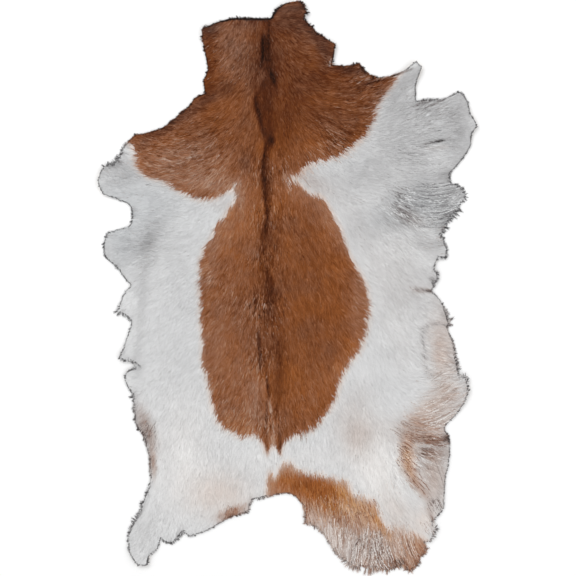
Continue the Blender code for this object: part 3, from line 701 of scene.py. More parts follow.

# Narrow marks: creases, rolls and stripes, each from row to row. Most creases, slits, folds and rolls
# paint the shade in them, and a few marks the highlight on them; the stripes are the coat's own dark hair.
# Columns: x, y, width, how strongly the coat takes the tone, warmth, light, loose hairs for each millimetre
MARKS = (
    # the neck crease's runs paint the shade in the fold of the neck
    ("neck crease, seam",
     (-31, 447, 3, 0.7, 0.95, 0.12, 1),
     (-31, 430, 3.2, 0.85, 0.95, 0.1, 1.6),
     (-32, 416, 3.8, 1, 0.95, 0.05, 2.8),
     (-31, 398, 3.2, 0.9, 1, 0.07, 2),
     (-31, 378, 3.2, 0.8, 1, 0.1, 1.4)),
    ("neck crease, trough",
     (-37, 426, 9, 0.4, 0.95, 0.22, 0),
     (-35, 408, 10.5, 1, 1, 0.1, 2.4),
     (-35, 378, 10.5, 1, 1, 0.1, 2.4),
     (-33, 367, 8, 0.4, 1, 0.24, 0)),
    ("neck crease, lip",
     (-39, 418, 3.2, 0.9, 0.95, 0.05, 2),
     (-41, 408, 4.6, 1, 0.95, 0.02, 4.6),
     (-41, 376, 4.6, 1, 0.95, 0.02, 4.6),
     (-44, 367, 4.4, 0.7, 0.95, 0.1, 1.4)),
    ("neck crease, kink",
     (-34, 366, 3.8, 0.8, 1, 0.1, 1.6),
     (-28, 358, 6, 1, 1, 0.06, 3.4),
     (-24, 349, 8, 1, 0.95, 0.03, 5),
     (-21, 338, 7, 0.9, 1, 0.07, 3.4),
     (-19, 330, 5, 0.5, 1, 0.16, 1)),
    ("neck crease, ear",
     (-51, 318, 6, 0.75, 1, 0.13, 1.2),
     (-43, 331, 6, 0.85, 1, 0.14, 1.2),
     (-34, 346, 6, 0.75, 1, 0.15, 1.2)),
    # painted highlight on the fold at the ear
    ("neck crease, ear tip",
     (-50, 338, 8, 0.55, 0.76, 0.42, 0),
     (-40, 352, 7, 0.6, 0.76, 0.42, 0)),
    ("neck corner, pale curl",
     (72, 382, 2.2, 0.5, 0.3, 0.6, 0.6),
     (69, 369, 2.8, 0.75, 0.2, 0.7, 1)),
    # painted shade in the crease along the mane's left edge
    ("mane edge",
     (-53, 317, 5, 0.85, 0.95, 0.1, 1),
     (-51, 305, 6.5, 1, 0.95, 0.05, 1.6),
     (-48, 290, 6.5, 1, 0.95, 0.04, 1.6),
     (-45, 278, 6, 1, 0.95, 0.05, 1.6),
     (-41, 265, 5.5, 0.95, 0.95, 0.06, 1.2),
     (-37, 254, 6, 0.9, 0.95, 0.08, 1)),
    ("mane",
     (-42, 318, 17, 0.6, 1, 0.23, 0),
     (-34, 290, 19, 0.85, 1, 0.2, 0),
     (-31, 262, 17, 0.85, 0.95, 0.18, 0)),
    ("mane, knot",
     (-30, 251, 9, 0.9, 0.9, 0.07, 1),
     (-27, 244, 9, 1, 0.85, 0.03, 1.6)),
    ("spine stripe",
     (-31, 243, 9, 0.9, 1, 0.08, 1),
     (-34, 230, 10, 1, 1, 0.17, 0.6),
     (-36, 212, 9.5, 1, 1, 0.19, 0.6),
     (-36, 194, 12, 0.95, 1, 0.21, 0.6),
     (-35, 172, 12.5, 0.95, 1, 0.21, 0.6),
     (-34, 156, 13.5, 0.9, 1, 0.22, 0.6),
     (-32, 134, 11.5, 0.9, 1, 0.23, 0.6),
     (-33, 112, 12, 0.85, 1, 0.23, 0.6),
     (-37, 86, 14, 0.8, 1, 0.22, 0.8),
     (-38, 60, 14, 0.65, 1, 0.25, 0.8)),
    ("spine stripe, dark side",
     (-36, 240, 4, 0.7, 0.95, 0.08, 1.4),
     (-38, 216, 4, 0.8, 1, 0.08, 1.6),
     (-41, 193, 4, 0.85, 1, 0.08, 1.8),
     (-38, 172, 5, 0.8, 1, 0.1, 1.6),
     (-39, 154, 5, 0.75, 1, 0.11, 1.4),
     (-34, 136, 4, 0.5, 0.95, 0.12, 1.6),
     (-34, 112, 4, 0.5, 0.95, 0.13, 1.6),
     (-38, 88, 7, 0.5, 1, 0.15, 1.4)),
    ("spine, worn",
     (-39, 56, 15, 0.5, 1, 0.3, 0.8),
     (-42, 30, 15, 0.5, 1, 0.33, 0.8),
     (-44, -30, 14, 0.45, 0.98, 0.37, 0.6),
     (-46, -90, 15, 0.35, 0.84, 0.42, 0.5)),
    ("spine, dark side",
     (-35, 40, 6, 0.6, 1, 0.16, 0.8),
     (-33, 20, 8, 0.7, 1, 0.16, 1),
     (-27, -6, 19, 0.75, 1, 0.18, 1.2),
     (-30, -30, 14, 0.65, 0.95, 0.2, 1),
     (-31, -60, 10, 0.5, 0.98, 0.27, 0.8),
     (-36, -86, 9, 0.45, 0.95, 0.31, 0.6)),
    ("spine, red side",
     (-22, -78, 10, 0.4, 1, 0.26, 0),
     (-18, -105, 14, 0.7, 1, 0.24, 0.3),
     (-15, -130, 15, 0.8, 1, 0.23, 0.3),
     (-18, -160, 13, 0.6, 1, 0.25, 0.3),
     (-18, -205, 10, 0.6, 1, 0.27, 0.3),
     (-14, -235, 10, 0.6, 1, 0.34, 0.3)),
    ("spine, left line",
     (-49, -70, 3.4, 0.6, 0.9, 0.18, 0.8),
     (-46, -110, 4, 0.8, 0.9, 0.15, 1.2),
     (-45, -132, 3.4, 0.6, 0.9, 0.18, 0.8)),
    ("spine, low line",
     (-36, -138, 2.8, 0.6, 0.9, 0.18, 0.8),
     (-33, -160, 3.6, 0.9, 0.9, 0.1, 1.2),
     (-31, -178, 3, 0.7, 0.9, 0.16, 0.8),
     (-34, -192, 2.8, 0.75, 0.9, 0.15, 0.8),
     (-35, -220, 2.8, 0.6, 0.9, 0.18, 0.8)),
    ("tail, left point",
     (-37, -232, 5, 0.4, 0.9, 0.28, 0.5),
     (-35, -252, 6, 0.5, 0.9, 0.27, 0.6),
     (-33, -271, 5, 0.6, 0.85, 0.22, 0.8)),
    ("tail, right point",
     (-13, -236, 4, 0.5, 0.9, 0.24, 0.5),
     (-12, -256, 5, 0.6, 0.9, 0.22, 0.8),
     (-12, -274, 4, 0.7, 0.85, 0.16, 0.8)),
    ("tail, pale strand",
     (-34, -146, 2.4, 0.4, 0.62, 0.54, 0.5),
     (-36, -156, 2.4, 0.5, 0.62, 0.58, 0.5)),
    ("tail, pale lock",
     (-30, -186, 4, 0.6, 0.62, 0.62, 0.8),
     (-28, -198, 5.2, 0.9, 0.62, 0.72, 1.6),
     (-27, -212, 4, 0.6, 0.62, 0.62, 0.8)),
    ("tail, pale between",
     (-28, -222, 4, 0.5, 0.62, 0.56, 0.6),
     (-22, -238, 8, 0.8, 0.66, 0.6, 1.2),
     (-24, -258, 8, 0.75, 0.62, 0.62, 1.2)),
    # painted shade in the slit
    ("shoulder slit",
     (222, 237, 1.6, 0.5, 0.1, 0.42, 1),
     (236, 240, 1.8, 0.8, 0.1, 0.28, 2),
     (246, 242, 2, 1, 0.1, 0.1, 3),
     (256, 244, 2.2, 1, 0.1, 0.03, 3.4),
     (261, 246, 1.5, 0.5, 0.1, 0.35, 1),
     (276, 246, 1.4, 0.1, 0.1, 0.66, 0)),
    ("shoulder slit, rub",
     (232, 231, 5, 0.12, 0.45, 0.72, 0),
     (262, 233, 5, 0.16, 0.4, 0.7, 0)),
    ("rolled edge, shade",
     (106, 331, 4, 0.3, 0.95, 0.2, 0.3),
     (130, 338, 4.5, 0.6, 0.95, 0.14, 0.6),
     (152, 344, 4, 0.8, 0.95, 0.09, 0.8),
     (171, 347, 3, 0.6, 0.9, 0.2, 0.6)),
    ("rolled edge, pale",
     (148, 347, 1.6, 0.4, 0.5, 0.6, 0.3),
     (166, 350, 2.2, 0.8, 0.35, 0.75, 0.6),
     (184, 352, 3, 0.5, 0.3, 0.8, 0.3)),
    ("rolled edge, lip",
     (150, 351, 2.2, 0.7, 0.8, 0.12, 0.5),
     (176, 353, 2.6, 0.8, 0.6, 0.18, 0.6),
     (197, 359, 2.4, 0.8, 0.2, 0.3, 0.5),
     (208, 363, 2, 0.3, 0.1, 0.5, 0)),
    # the foreleg's two creases paint the shade in them
    ("foreleg crease, upper",
     (211, 303, 2.2, 0.6, 0.08, 0.34, 1.2),
     (226, 306, 2, 0.7, 0.08, 0.36, 1.4),
     (246, 314, 1.6, 0.5, 0.08, 0.46, 0.8)),
    ("foreleg crease, lower",
     (212, 295, 2.2, 0.6, 0.08, 0.4, 1.2),
     (230, 300, 2.2, 0.65, 0.08, 0.4, 1.4),
     (247, 307, 2, 0.6, 0.08, 0.42, 1.2),
     (262, 314, 1.6, 0.4, 0.08, 0.52, 0.6)),
    ("foreleg, pale ridge",
     (218, 299, 3, 0.5, 0.05, 0.84, 0),
     (246, 307, 3, 0.5, 0.05, 0.84, 0)),
    # painted shade in the crease and notch at the flank
    ("flank crease",
     (205, -3, 2.2, 0.9, 0.5, 0.26, 2.2),
     (214, -3, 2.4, 1, 0.45, 0.18, 3),
     (228, -4, 2.4, 1, 0.35, 0.16, 3),
     (237, -6, 3, 1, 0.3, 0.14, 2.4)),
    ("flank crease, blush",
     (206, -6, 10, 0.1, 0.4, 0.74, 0),
     (234, -3, 12, 0.15, 0.45, 0.7, 0)),
    ("armpit, dark spot",
     (240, 13, 3, 1, 0.1, 0.08, 1),
     (240, 8, 3, 1, 0.1, 0.08, 1)),
    # painted shade in the crease of the flank's roll
    ("flank roll",
     (252, -58, 4, 0.35, 0.12, 0.6, 0.3),
     (236, -62, 4, 0.6, 0.12, 0.58, 0.5),
     (225, -69, 3.5, 0.8, 0.1, 0.58, 0.6),
     (222, -80, 3.5, 0.8, 0.1, 0.59, 0.6),
     (225, -94, 3.2, 0.6, 0.1, 0.62, 0.4),
     (227, -108, 3.4, 0.8, 0.1, 0.58, 0.6),
     (228, -128, 3.4, 0.8, 0.1, 0.58, 0.6),
     (232, -140, 4, 0.6, 0.12, 0.6, 0.4),
     (239, -148, 4, 0.4, 0.12, 0.6, 0.3)),
    # painted highlight on the roll's inner side
    ("flank roll, inner side",
     (232, -92, 5, 0.6, 0.08, 0.9, 0),
     (234, -130, 6, 0.75, 0.06, 0.9, 0)),
    ("flank lock",
     (246, -60, 2, 0.25, 0.1, 0.6, 0.2),
     (264, -61, 2.2, 0.5, 0.1, 0.46, 0.5),
     (276, -57, 2.4, 0.8, 0.1, 0.26, 1.2)),
    # the thigh's creases paint the shade in them
    ("thigh crease",
     (226, -176, 3, 0.3, 0.45, 0.64, 0.2),
     (256, -162, 3, 0.4, 0.45, 0.6, 0.3)),
    ("thigh crease, middle",
     (236, -190, 2.6, 0.3, 0.45, 0.6, 0.2),
     (262, -182, 2.6, 0.45, 0.45, 0.54, 0.3),
     (282, -166, 2.6, 0.4, 0.4, 0.52, 0.3)),
    ("thigh crease, lower",
     (240, -208, 2.6, 0.3, 0.45, 0.6, 0.2),
     (266, -198, 2.6, 0.4, 0.4, 0.54, 0.3),
     (282, -184, 2.6, 0.4, 0.4, 0.54, 0.3)),
    # painted shade in the fold of the turned leg
    ("turned leg, fold",
     (194, -242, 10, 0.4, 0.6, 0.52, 0.3),
     (222, -249, 13, 0.55, 0.6, 0.45, 0.5),
     (250, -253, 9, 0.7, 0.5, 0.37, 0.8)),
    ("turned leg, dark tip",
     (257, -252, 6, 0.75, 0.4, 0.28, 0.8),
     (266, -249, 10, 1, 0.35, 0.1, 1.6)),
    ("tan streak",
     (199, -248, 15, 0.6, 0.72, 0.6, 0),
     (198, -270, 19, 0.88, 0.86, 0.635, 0),
     (200, -296, 18, 0.88, 0.86, 0.635, 0),
     (210, -318, 14, 0.75, 0.74, 0.63, 0),
     (226, -340, 12, 0.6, 0.56, 0.6, 0)),
    # painted shade in the trough beside the turned leg
    ("turned leg, trough",
     (234, -350, 9, 0.35, 0.4, 0.56, 0),
     (237, -372, 7, 0.4, 0.35, 0.52, 0.4),
     (240, -384, 4, 0.7, 0.3, 0.3, 0.8)),
)

# Long strands that lie side by side on one curve. Columns: place, from x, y, by way of x, y,
# to x, y, spread, strands, warmth, light, thickness
FANS = (
    ("rump, swirl, dark", 151, -404, 147, -440, 168, -470, 22, 13, 0.5, 0.38, 1.3),
    ("rump, swirl, pale", 153, -404, 149, -440, 170, -468, 26, 18, 0.3, 0.86, 1.4),
    ("rump, inner swirl, dark", 164, -412, 160, -436, 178, -462, 16, 9, 0.45, 0.4, 1.2),
    ("rump, dark streak", 121, -411, 115, -421, 107, -433, 3, 8, 0.6, 0.22, 1.2),
    ("rump, dark streak, second", 132, -405, 128, -416, 127, -428, 12, 8, 0.5, 0.32, 1.1),
    ("rump, middle, dark", 132, -402, 134, -430, 128, -464, 44, 26, 0.45, 0.44, 1.2),
    ("rump, middle, pale", 130, -402, 130, -430, 126, -464, 48, 34, 0.28, 0.88, 1.4),
    ("rump, left, dark", 92, -392, 88, -415, 94, -440, 36, 16, 0.5, 0.52, 1.1),
    ("rump, left, pale", 86, -394, 82, -415, 92, -444, 44, 24, 0.32, 0.86, 1.4),
    ("rump, right, dark", 192, -412, 196, -430, 208, -456, 28, 12, 0.62, 0.4, 1.1),
    ("rump, right, pale", 190, -402, 194, -426, 206, -454, 32, 20, 0.5, 0.82, 1.3),
    ("rump, brown, dark", 56, -332, 54, -352, 58, -376, 70, 20, 0.95, 0.34, 1),
    ("rump, brown, tan", 84, -342, 86, -362, 94, -388, 84, 46, 0.7, 0.66, 1.2),
    ("rump, side, dark", 124, -354, 132, -375, 138, -402, 40, 20, 0.85, 0.42, 1.1),
    ("rump, side, tan", 122, -360, 130, -380, 136, -404, 50, 26, 0.66, 0.7, 1.2),
    ("rump, dark tuft", 182, -446, 186, -453, 190, -462, 12, 9, 0.4, 0.26, 1.1),
    ("rump, foot of the white leg", 182, -384, 186, -400, 190, -416, 26, 8, 0.55, 0.62, 1),
    ("turned leg, strokes", 226, -247, 242, -258, 262, -256, 12, 9, 0.7, 0.32, 1.1),
    ("turned leg, strokes, low", 224, -258, 236, -259, 248, -266, 12, 5, 0.6, 0.5, 1),
    ("turned leg, dark strands", 196, -236, 220, -244, 248, -244, 26, 12, 0.58, 0.44, 1),
    ("turned leg, tan strands", 192, -226, 218, -234, 250, -228, 34, 16, 0.55, 0.62, 1.1),
    ("turned leg, pale strands", 196, -234, 220, -242, 248, -240, 30, 9, 0.45, 0.74, 1),
    ("turned leg, first strands", 177, -224, 188, -234, 200, -240, 26, 14, 0.35, 0.56, 1.1),
    ("tan streak, dark, upper", 186, -254, 196, -262, 208, -270, 22, 9, 0.85, 0.34, 1.2),
    ("tan streak, dark", 188, -274, 198, -285, 210, -297, 26, 12, 0.85, 0.34, 1.2),
    ("tan streak, pale, upper", 186, -252, 196, -260, 208, -268, 24, 9, 0.6, 0.82, 1.2),
    ("tan streak, pale", 188, -272, 198, -283, 210, -295, 30, 13, 0.6, 0.82, 1.3),
    ("tan streak, dark, low", 197, -297, 206, -309, 219, -321, 18, 8, 0.8, 0.4, 1.1),
    ("tan streak, low", 202, -314, 215, -328, 230, -345, 18, 10, 0.6, 0.52, 1.1),
    ("turned leg, grey", 226, -284, 236, -308, 246, -340, 36, 9, 0.3, 0.66, 1),
    ("turned leg, pale", 230, -288, 240, -310, 250, -338, 34, 6, 0.22, 0.76, 1),
    ("turned leg, foot", 238, -346, 244, -358, 250, -370, 20, 14, 0.25, 0.46, 1.1),
    ("thigh, strands", 232, -212, 252, -204, 278, -188, 42, 14, 0.42, 0.58, 0.9),
    ("thigh, pale strands", 222, -214, 246, -206, 276, -188, 46, 20, 0.25, 0.92, 1.2),
    ("thigh, upper strands", 238, -160, 252, -152, 272, -138, 44, 14, 0.36, 0.64, 0.8),
    ("thigh, upper, pale strands", 234, -160, 250, -152, 272, -136, 50, 14, 0.2, 0.9, 0.9),
    ("belly swirl, upper", 174, 172, 184, 158, 212, 154, 22, 8, 0.1, 0.55, 1),
    ("belly swirl, middle", 176, 152, 186, 140, 218, 134, 24, 13, 0.08, 0.44, 1.2),
    ("belly swirl, lower", 178, 134, 190, 120, 226, 112, 22, 12, 0.12, 0.46, 1.1),
    ("belly swirl, pale", 176, 150, 188, 136, 220, 130, 50, 22, 0.05, 0.9, 1.4),
    ("belly, towards the rim", 214, 152, 246, 146, 280, 158, 44, 26, 0.03, 0.5, 1),
    ("belly, towards the rim, pale", 214, 150, 246, 144, 280, 156, 48, 22, 0.05, 0.88, 1.3),
    ("belly, low, towards the rim", 226, 118, 250, 112, 272, 122, 34, 20, 0.03, 0.46, 1),
    ("waist, pale strands", 8, 190, 12, 182, 18, 170, 30, 16, 0.45, 0.78, 0.8),
    ("waist, brown strands", 14, 192, 18, 182, 26, 170, 30, 9, 0.75, 0.62, 0.6),
    ("foot, stray strands", 22, -230, 25, -240, 26, -252, 12, 4, 0.9, 0.28, 0.8),
    ("right shoulder, dark strands", 196, 250, 226, 258, 258, 268, 60, 12, 0.06, 0.65, 0.6),
    ("right shoulder, foot, dark strands", 180, 216, 214, 212, 250, 214, 40, 12, 0.06, 0.62, 0.7),
)

# Strands that show singly. Columns: place, coat (brown or white), x, y, reach, count, length,
# warmth, light
STREAKS = (
    ("cape, left, pale", "brown", -160, 211, 44, 190, 12, 0.74, 0.56),
    ("cape, left top, dark", "brown", -150, 270, 44, 70, 12, 0.95, 0.28),
    ("cape, left, dark", "brown", -110, 215, 44, 90, 12, 0.95, 0.29),
    ("neck, left, pale", "brown", -90, 390, 38, 90, 9, 0.6, 0.52),
    ("neck, dark", "brown", -60, 380, 60, 50, 9, 0.95, 0.25),
    ("neck, right, dark", "brown", 30, 390, 40, 40, 10, 0.95, 0.22),
    ("cape, right, dark", "brown", 70, 300, 60, 70, 12, 0.95, 0.25),
    ("cape, right hem, pale", "brown", 70, 240, 34, 80, 14, 0.68, 0.6),
    ("cape, right rim, pale", "brown", 140, 300, 30, 50, 12, 0.66, 0.6),
    ("waist, pale", "brown", 10, 195, 26, 60, 14, 0.66, 0.62),
    ("saddle, left, pale", "brown", -110, 40, 60, 90, 11, 0.72, 0.54),
    ("saddle, left, dark", "brown", -100, -60, 70, 70, 11, 0.95, 0.3),
    ("saddle, right, dark", "brown", 40, -20, 80, 60, 11, 0.95, 0.31),
    ("saddle, right, pale", "brown", 60, -60, 70, 40, 11, 0.8, 0.5),
    ("spine, dark", "brown", -30, -20, 22, 90, 9, 0.95, 0.2),
    ("spine, pale", "brown", -44, -62, 19, 70, 9, 0.64, 0.58),
    ("belly, rim, dark", "white", 262, 124, 22, 150, 20, 0.03, 0.48),
    ("belly foot, dark", "white", 236, 88, 16, 26, 16, 0.3, 0.5),
    ("right side, faint", "white", 140, 130, 50, 60, 22, 0.15, 0.66),
    ("right foreleg top, dark", "white", 226, 298, 26, 46, 26, 0.15, 0.5),
    ("right shoulder, faint", "white", 190, 240, 60, 60, 24, 0.08, 0.68),
    ("left chest, faint", "white", -230, 90, 46, 60, 16, 0.15, 0.6),
    ("left foreleg, faint", "white", -262, 190, 34, 40, 12, 0.2, 0.6),
    ("right thigh, tan", "white", 262, -186, 30, 60, 18, 0.5, 0.62),
    ("right thigh, inner", "white", 218, -222, 21, 76, 22, 0.54, 0.6),
    ("turned leg, grey", "white", 246, -310, 26, 60, 16, 0.32, 0.64),
    ("leg stub, dark", "white", 224, -392, 20, 40, 16, 0.45, 0.56),
    ("left thigh rim, dark", "white", -231, -236, 12, 140, 8, 0.32, 0.24),
    ("left shank rim, dark", "white", -226, -276, 12, 60, 8, 0.35, 0.36),
    ("left rump rim, dark", "white", -97, -375, 14, 130, 8, 0.76, 0.32),
    ("rump, brown strands", "brown", 90, -356, 40, 260, 11, 0.92, 0.4),
    ("rump, pale strands", "brown", 100, -372, 44, 260, 12, 0.55, 0.76),
    ("rump, cream strands", "brown", 60, -400, 30, 120, 14, 0.4, 0.82),
    ("rump, long pale", "brown", 140, -434, 34, 150, 26, 0.35, 0.8),
    ("rump, corner", "brown", 210, -430, 16, 60, 14, 0.84, 0.46),
    ("white leg beside the rump", "white", 150, -350, 40, 40, 20, 0.4, 0.82),
)

# How light and warm hair shows. Each ramp runs from black to white. Columns: lightness, red,
# green, blue, each colour from 0 to 255
COOL = (
    (0.0, 14, 14, 14),
    (0.25, 74, 74, 75),
    (0.5, 134, 135, 137),
    (0.75, 190, 192, 194),
    (1.0, 246, 248, 249),
)
ROSY = (
    (0.0, 18, 10, 8),
    (0.25, 88, 64, 54),
    (0.5, 154, 122, 106),
    (0.75, 207, 184, 171),
    (1.0, 249, 240, 232),
)
ORANGE = (
    (0.0, 16, 5, 1),
    (0.25, 92, 42, 12),
    (0.5, 166, 96, 44),
    (0.75, 212, 158, 98),
    (1.0, 248, 216, 172),
)


def sides_of(outline):
    """The x and y of an outline's corners, and of the corner after each."""
    corners = np.array(outline, float)
    after = np.roll(corners, -1, axis=0)
    return corners[:, 0], corners[:, 1], after[:, 0], after[:, 1]


def inside(outline, x, y):
    """True where places lie within a closed outline."""
    within = np.zeros(len(x), bool)
    for start_x, start_y, end_x, end_y in zip(*sides_of(outline)):
        if start_y == end_y:
            continue
        crosses = (start_y > y) != (end_y > y)
        reach = start_x + (y - start_y) * (end_x - start_x) / (end_y - start_y)
        within ^= crosses & (reach > x)
    return within


def place_on_line(x, y, start_x, start_y, end_x, end_y):
    """How far along a straight stretch its nearest point lies, and the distance to it."""
    run_x, run_y = end_x - start_x, end_y - start_y
    part = ((x - start_x) * run_x + (y - start_y) * run_y) / max(run_x**2 + run_y**2, NO_LENGTH)
    part = np.clip(part, 0.0, 1.0)
    return part, np.hypot(x - start_x - part * run_x, y - start_y - part * run_y)


def distance_to_outline(outline, x, y):
    """Distance from places to the nearest side of an outline."""
    nearest = np.full(len(x), np.inf)
    for side in zip(*sides_of(outline)):
        nearest = np.minimum(nearest, place_on_line(x, y, *side)[1])
    return nearest


def rounded(table):
    """A patch's outline with soft bends between its corners."""
    corners = np.array([(row[1], row[2]) for row in table], float)
    before, after = np.roll(corners, 1, axis=0), np.roll(corners, -1, axis=0)
    beyond = np.roll(corners, -2, axis=0)
    points = []
    for part in np.arange(0.0, 1.0, BEND_STEP):
        square, cube = part * part, part**3
        points.append(0.5 * (2 * corners + (after - before) * part
                             + (2 * before - 5 * corners + 4 * after - beyond) * square
                             + (3 * corners - before - 3 * after + beyond) * cube))
    return np.stack(points, axis=1).reshape(-1, 2)


def ground_places():
    """The x and y of each point of a ground grid."""
    across = np.arange(-HALF_WIDTH, HALF_WIDTH + STEP, STEP)
    along = np.arange(-HALF_LENGTH, HALF_LENGTH + STEP, STEP)
    return np.meshgrid(across, along)


def rows_of(*columns):
    """Rows from columns, in which a single number stands for a whole column."""
    return np.stack(np.broadcast_arrays(*columns), axis=1)


def aimed(runs):
    """The angle and the length of runs in x and y."""
    return np.arctan2(runs[:, 1], runs[:, 0]), np.hypot(runs[:, 0], runs[:, 1])


def turned(x, y, angle):
    """How far places lie along a direction and across it."""
    return x * math.cos(angle) + y * math.sin(angle), y * math.cos(angle) - x * math.sin(angle)


def away_from(x, y, place_x, place_y, reach):
    """Squared distance of places from one place, measured in reaches."""
    return ((x - place_x) ** 2 + (y - place_y) ** 2) / reach**2


def eased(part):
    """A part from 0 to 1 that starts and ends gently."""
    return part**2 * (3 - 2 * part)


def between(grid, across, along, shape=None):
    """Values between a grid's points, each blended from the four around it."""
    column, row = across.astype(int), along.astype(int)
    across, along = across - column, along - row
    if shape:
        across, along = shape(across), shape(along)
    lower = grid[row, column] * (1 - across) + grid[row, column + 1] * across
    upper = grid[row + 1, column] * (1 - across) + grid[row + 1, column + 1] * across
    return lower * (1 - along) + upper * along


def at(grid, x, y):
    """Value of a ground grid at places."""
    across = np.clip((x + HALF_WIDTH) / STEP, 0.0, grid.shape[1] - BEFORE_THE_LAST)
    along = np.clip((y + HALF_LENGTH) / STEP, 0.0, grid.shape[0] - BEFORE_THE_LAST)
    return between(grid, across, along)


def cloud(chance, size):
    """A ground grid of smooth noise between about -1 and 1, one swell every size millimetres."""
    x, y = ground_places()
    rows, columns = int(2 * HALF_LENGTH / size) + 3, int(2 * HALF_WIDTH / size) + 3
    coarse = chance.uniform(-1.0, 1.0, (rows, columns))
    return between(coarse, (x + HALF_WIDTH) / size, (y + HALF_LENGTH) / size, eased)


def carried_past(grid):
    """A ground grid with its values carried past the rim, where it had none."""
    grid = grid.copy()
    for _ in range(SPILL):
        padded = np.pad(grid, 1, constant_values=np.nan)
        around = np.stack([padded[:-2, 1:-1], padded[2:, 1:-1], padded[1:-1, :-2], padded[1:-1, 2:]])
        known = np.isfinite(around)
        count = known.sum(axis=0)
        mean = np.where(known, around, 0.0).sum(axis=0) / np.maximum(count, 1)
        empty = ~np.isfinite(grid) & (count > 0)
        grid[empty] = mean[empty]
    return np.where(np.isfinite(grid), grid, 0.0)


def softened(grid, times):
    """A ground grid with each value blended half and half with its four neighbours'."""
    for _ in range(times):
        padded = np.pad(grid, 1, mode="edge")
        grid = 0.5 * grid + 0.125 * (padded[:-2, 1:-1] + padded[2:, 1:-1]
                                     + padded[1:-1, :-2] + padded[1:-1, 2:])
    return grid


class Hide:
    """The solid's layers, rim and locks, and what they give each place of the ground."""

    def __init__(self, node):
        self.body = bmesh.new()
        self.body.from_mesh(node.data)
        bmesh.ops.remove_doubles(self.body, verts=self.body.verts, dist=SAME_POINT)
        self.lower_of = self.pairs()
        self.locks = self.take_locks()
        self.take_wall()
        self.rim = self.rim_loop()
        self.outline = np.array([(vert.co.x, vert.co.y) for vert in self.rim]) / MM
        self.top, self.base = self.heights()
        self.from_rim = self.distances()

    def pairs(self):
        """Each upper point of the rim, with the lower point that it stands on."""
        found = {}
        for edge in self.body.edges:
            first, second = edge.verts
            apart = math.hypot(first.co.x - second.co.x, first.co.y - second.co.y)
            if apart < SAME_PLACE * MM:
                lower, upper = sorted((first, second), key=lambda vert: vert.co.z)
                found[upper] = lower
        return found

    def take_locks(self):
        """Removes the solid's locks, and gives each one's two roots and its tip.

        A tip is joined to two lower and two upper points of the rim, and to nothing else.
        """
        lower, upper = set(self.lower_of.values()), set(self.lower_of)
        locks, tips = [], []
        for vert in self.body.verts:
            around = {edge.other_vert(vert) for edge in vert.link_edges}
            roots = sorted(around & lower, key=lambda root: tuple(root.co))
            on_rim = vert in lower or vert in upper
            if not on_rim and len(around) == 4 and len(roots) == 2 and len(around & upper) == 2:
                locks.append([np.array(point.co) / MM for point in (*roots, vert)])
                tips.append(vert)
        bmesh.ops.delete(self.body, geom=tips, context="VERTS")
        return locks

    def take_wall(self):
        """Removes the wall round the rim, which leaves the upper and the lower layer."""
        lower, upper = set(self.lower_of.values()), set(self.lower_of)
        wall = [face for face in self.body.faces if lower & set(face.verts) and upper & set(face.verts)]
        bmesh.ops.delete(self.body, geom=wall, context="FACES")

    def rim_loop(self):
        """The lower points of the rim, one after another, anticlockwise from the crown."""
        after = {vert: [edge.other_vert(vert) for edge in vert.link_edges if edge.is_boundary]
                 for vert in self.lower_of.values()}
        start = max(after, key=lambda vert: (vert.co.y, vert.co.x))
        loop, before = [start], None
        while True:
            here = loop[-1]
            step = next(other for other in after[here] if other is not before)
            if step is start:
                break
            before = here
            loop.append(step)
        area = sum(a.co.x * b.co.y - b.co.x * a.co.y for a, b in zip(loop, loop[1:] + loop[:1]))
        return loop if area > 0 else loop[::-1]

    def heights(self):
        """Ground grids of the coat's top and of the underside, in millimetres."""
        self.body.normal_update()
        tree = BVHTree.FromBMesh(self.body)
        x, y = ground_places()
        top = np.full(x.shape, np.nan)
        base = np.full(x.shape, np.nan)
        within = inside(self.outline, x.ravel(), y.ravel()).reshape(x.shape)
        down, up = Vector((0, 0, -1)), Vector((0, 0, 1))
        for row, column in zip(*np.nonzero(within)):
            place = (x[row, column] * MM, y[row, column] * MM)
            above = tree.ray_cast(Vector((*place, RAY_START)), down)[0]
            below = tree.ray_cast(Vector((*place, -RAY_START)), up)[0]
            if above and below:
                top[row, column] = above.z / MM
                base[row, column] = below.z / MM
        return softened(carried_past(top), TOP_SOFTENING), softened(carried_past(base), BASE_SOFTENING)

    def distances(self):
        """A ground grid of the distance to the rim, below 0 outside it."""
        ends = np.roll(self.outline, -1, axis=0)
        points = np.concatenate([self.outline + (ends - self.outline) * part for part in RIM_PARTS])
        tree = kdtree.KDTree(len(points))
        for index, point in enumerate(points):
            tree.insert((point[0], point[1], 0.0), index)
        tree.balance()
        x, y = ground_places()
        away = np.array([tree.find((a, b, 0.0))[2] for a, b in zip(x.ravel(), y.ravel())])
        within = inside(self.outline, x.ravel(), y.ravel())
        return np.where(within, away, -away).reshape(x.shape)


def flow_grids(chance):
    """Ground grids of the direction in which the coat lies."""
    x, y = ground_places()
    across, along = np.zeros(x.shape), np.zeros(x.shape)
    for row in FLOW:
        lie = Lie(*row)
        weight = (1.0 + away_from(x, y, lie.x, lie.y, FLOW_REACH)) ** -FLOW_FADE
        across += weight * math.cos(math.radians(lie.angle))
        along += weight * math.sin(math.radians(lie.angle))
    share, broader = BROAD_LOCKS
    sway = np.radians(LOCK_SWAY) * (cloud(chance, LOCK_SIZE) + share * cloud(chance, broader * LOCK_SIZE))
    angle = np.arctan2(along, across) + sway
    return np.cos(angle), np.sin(angle)


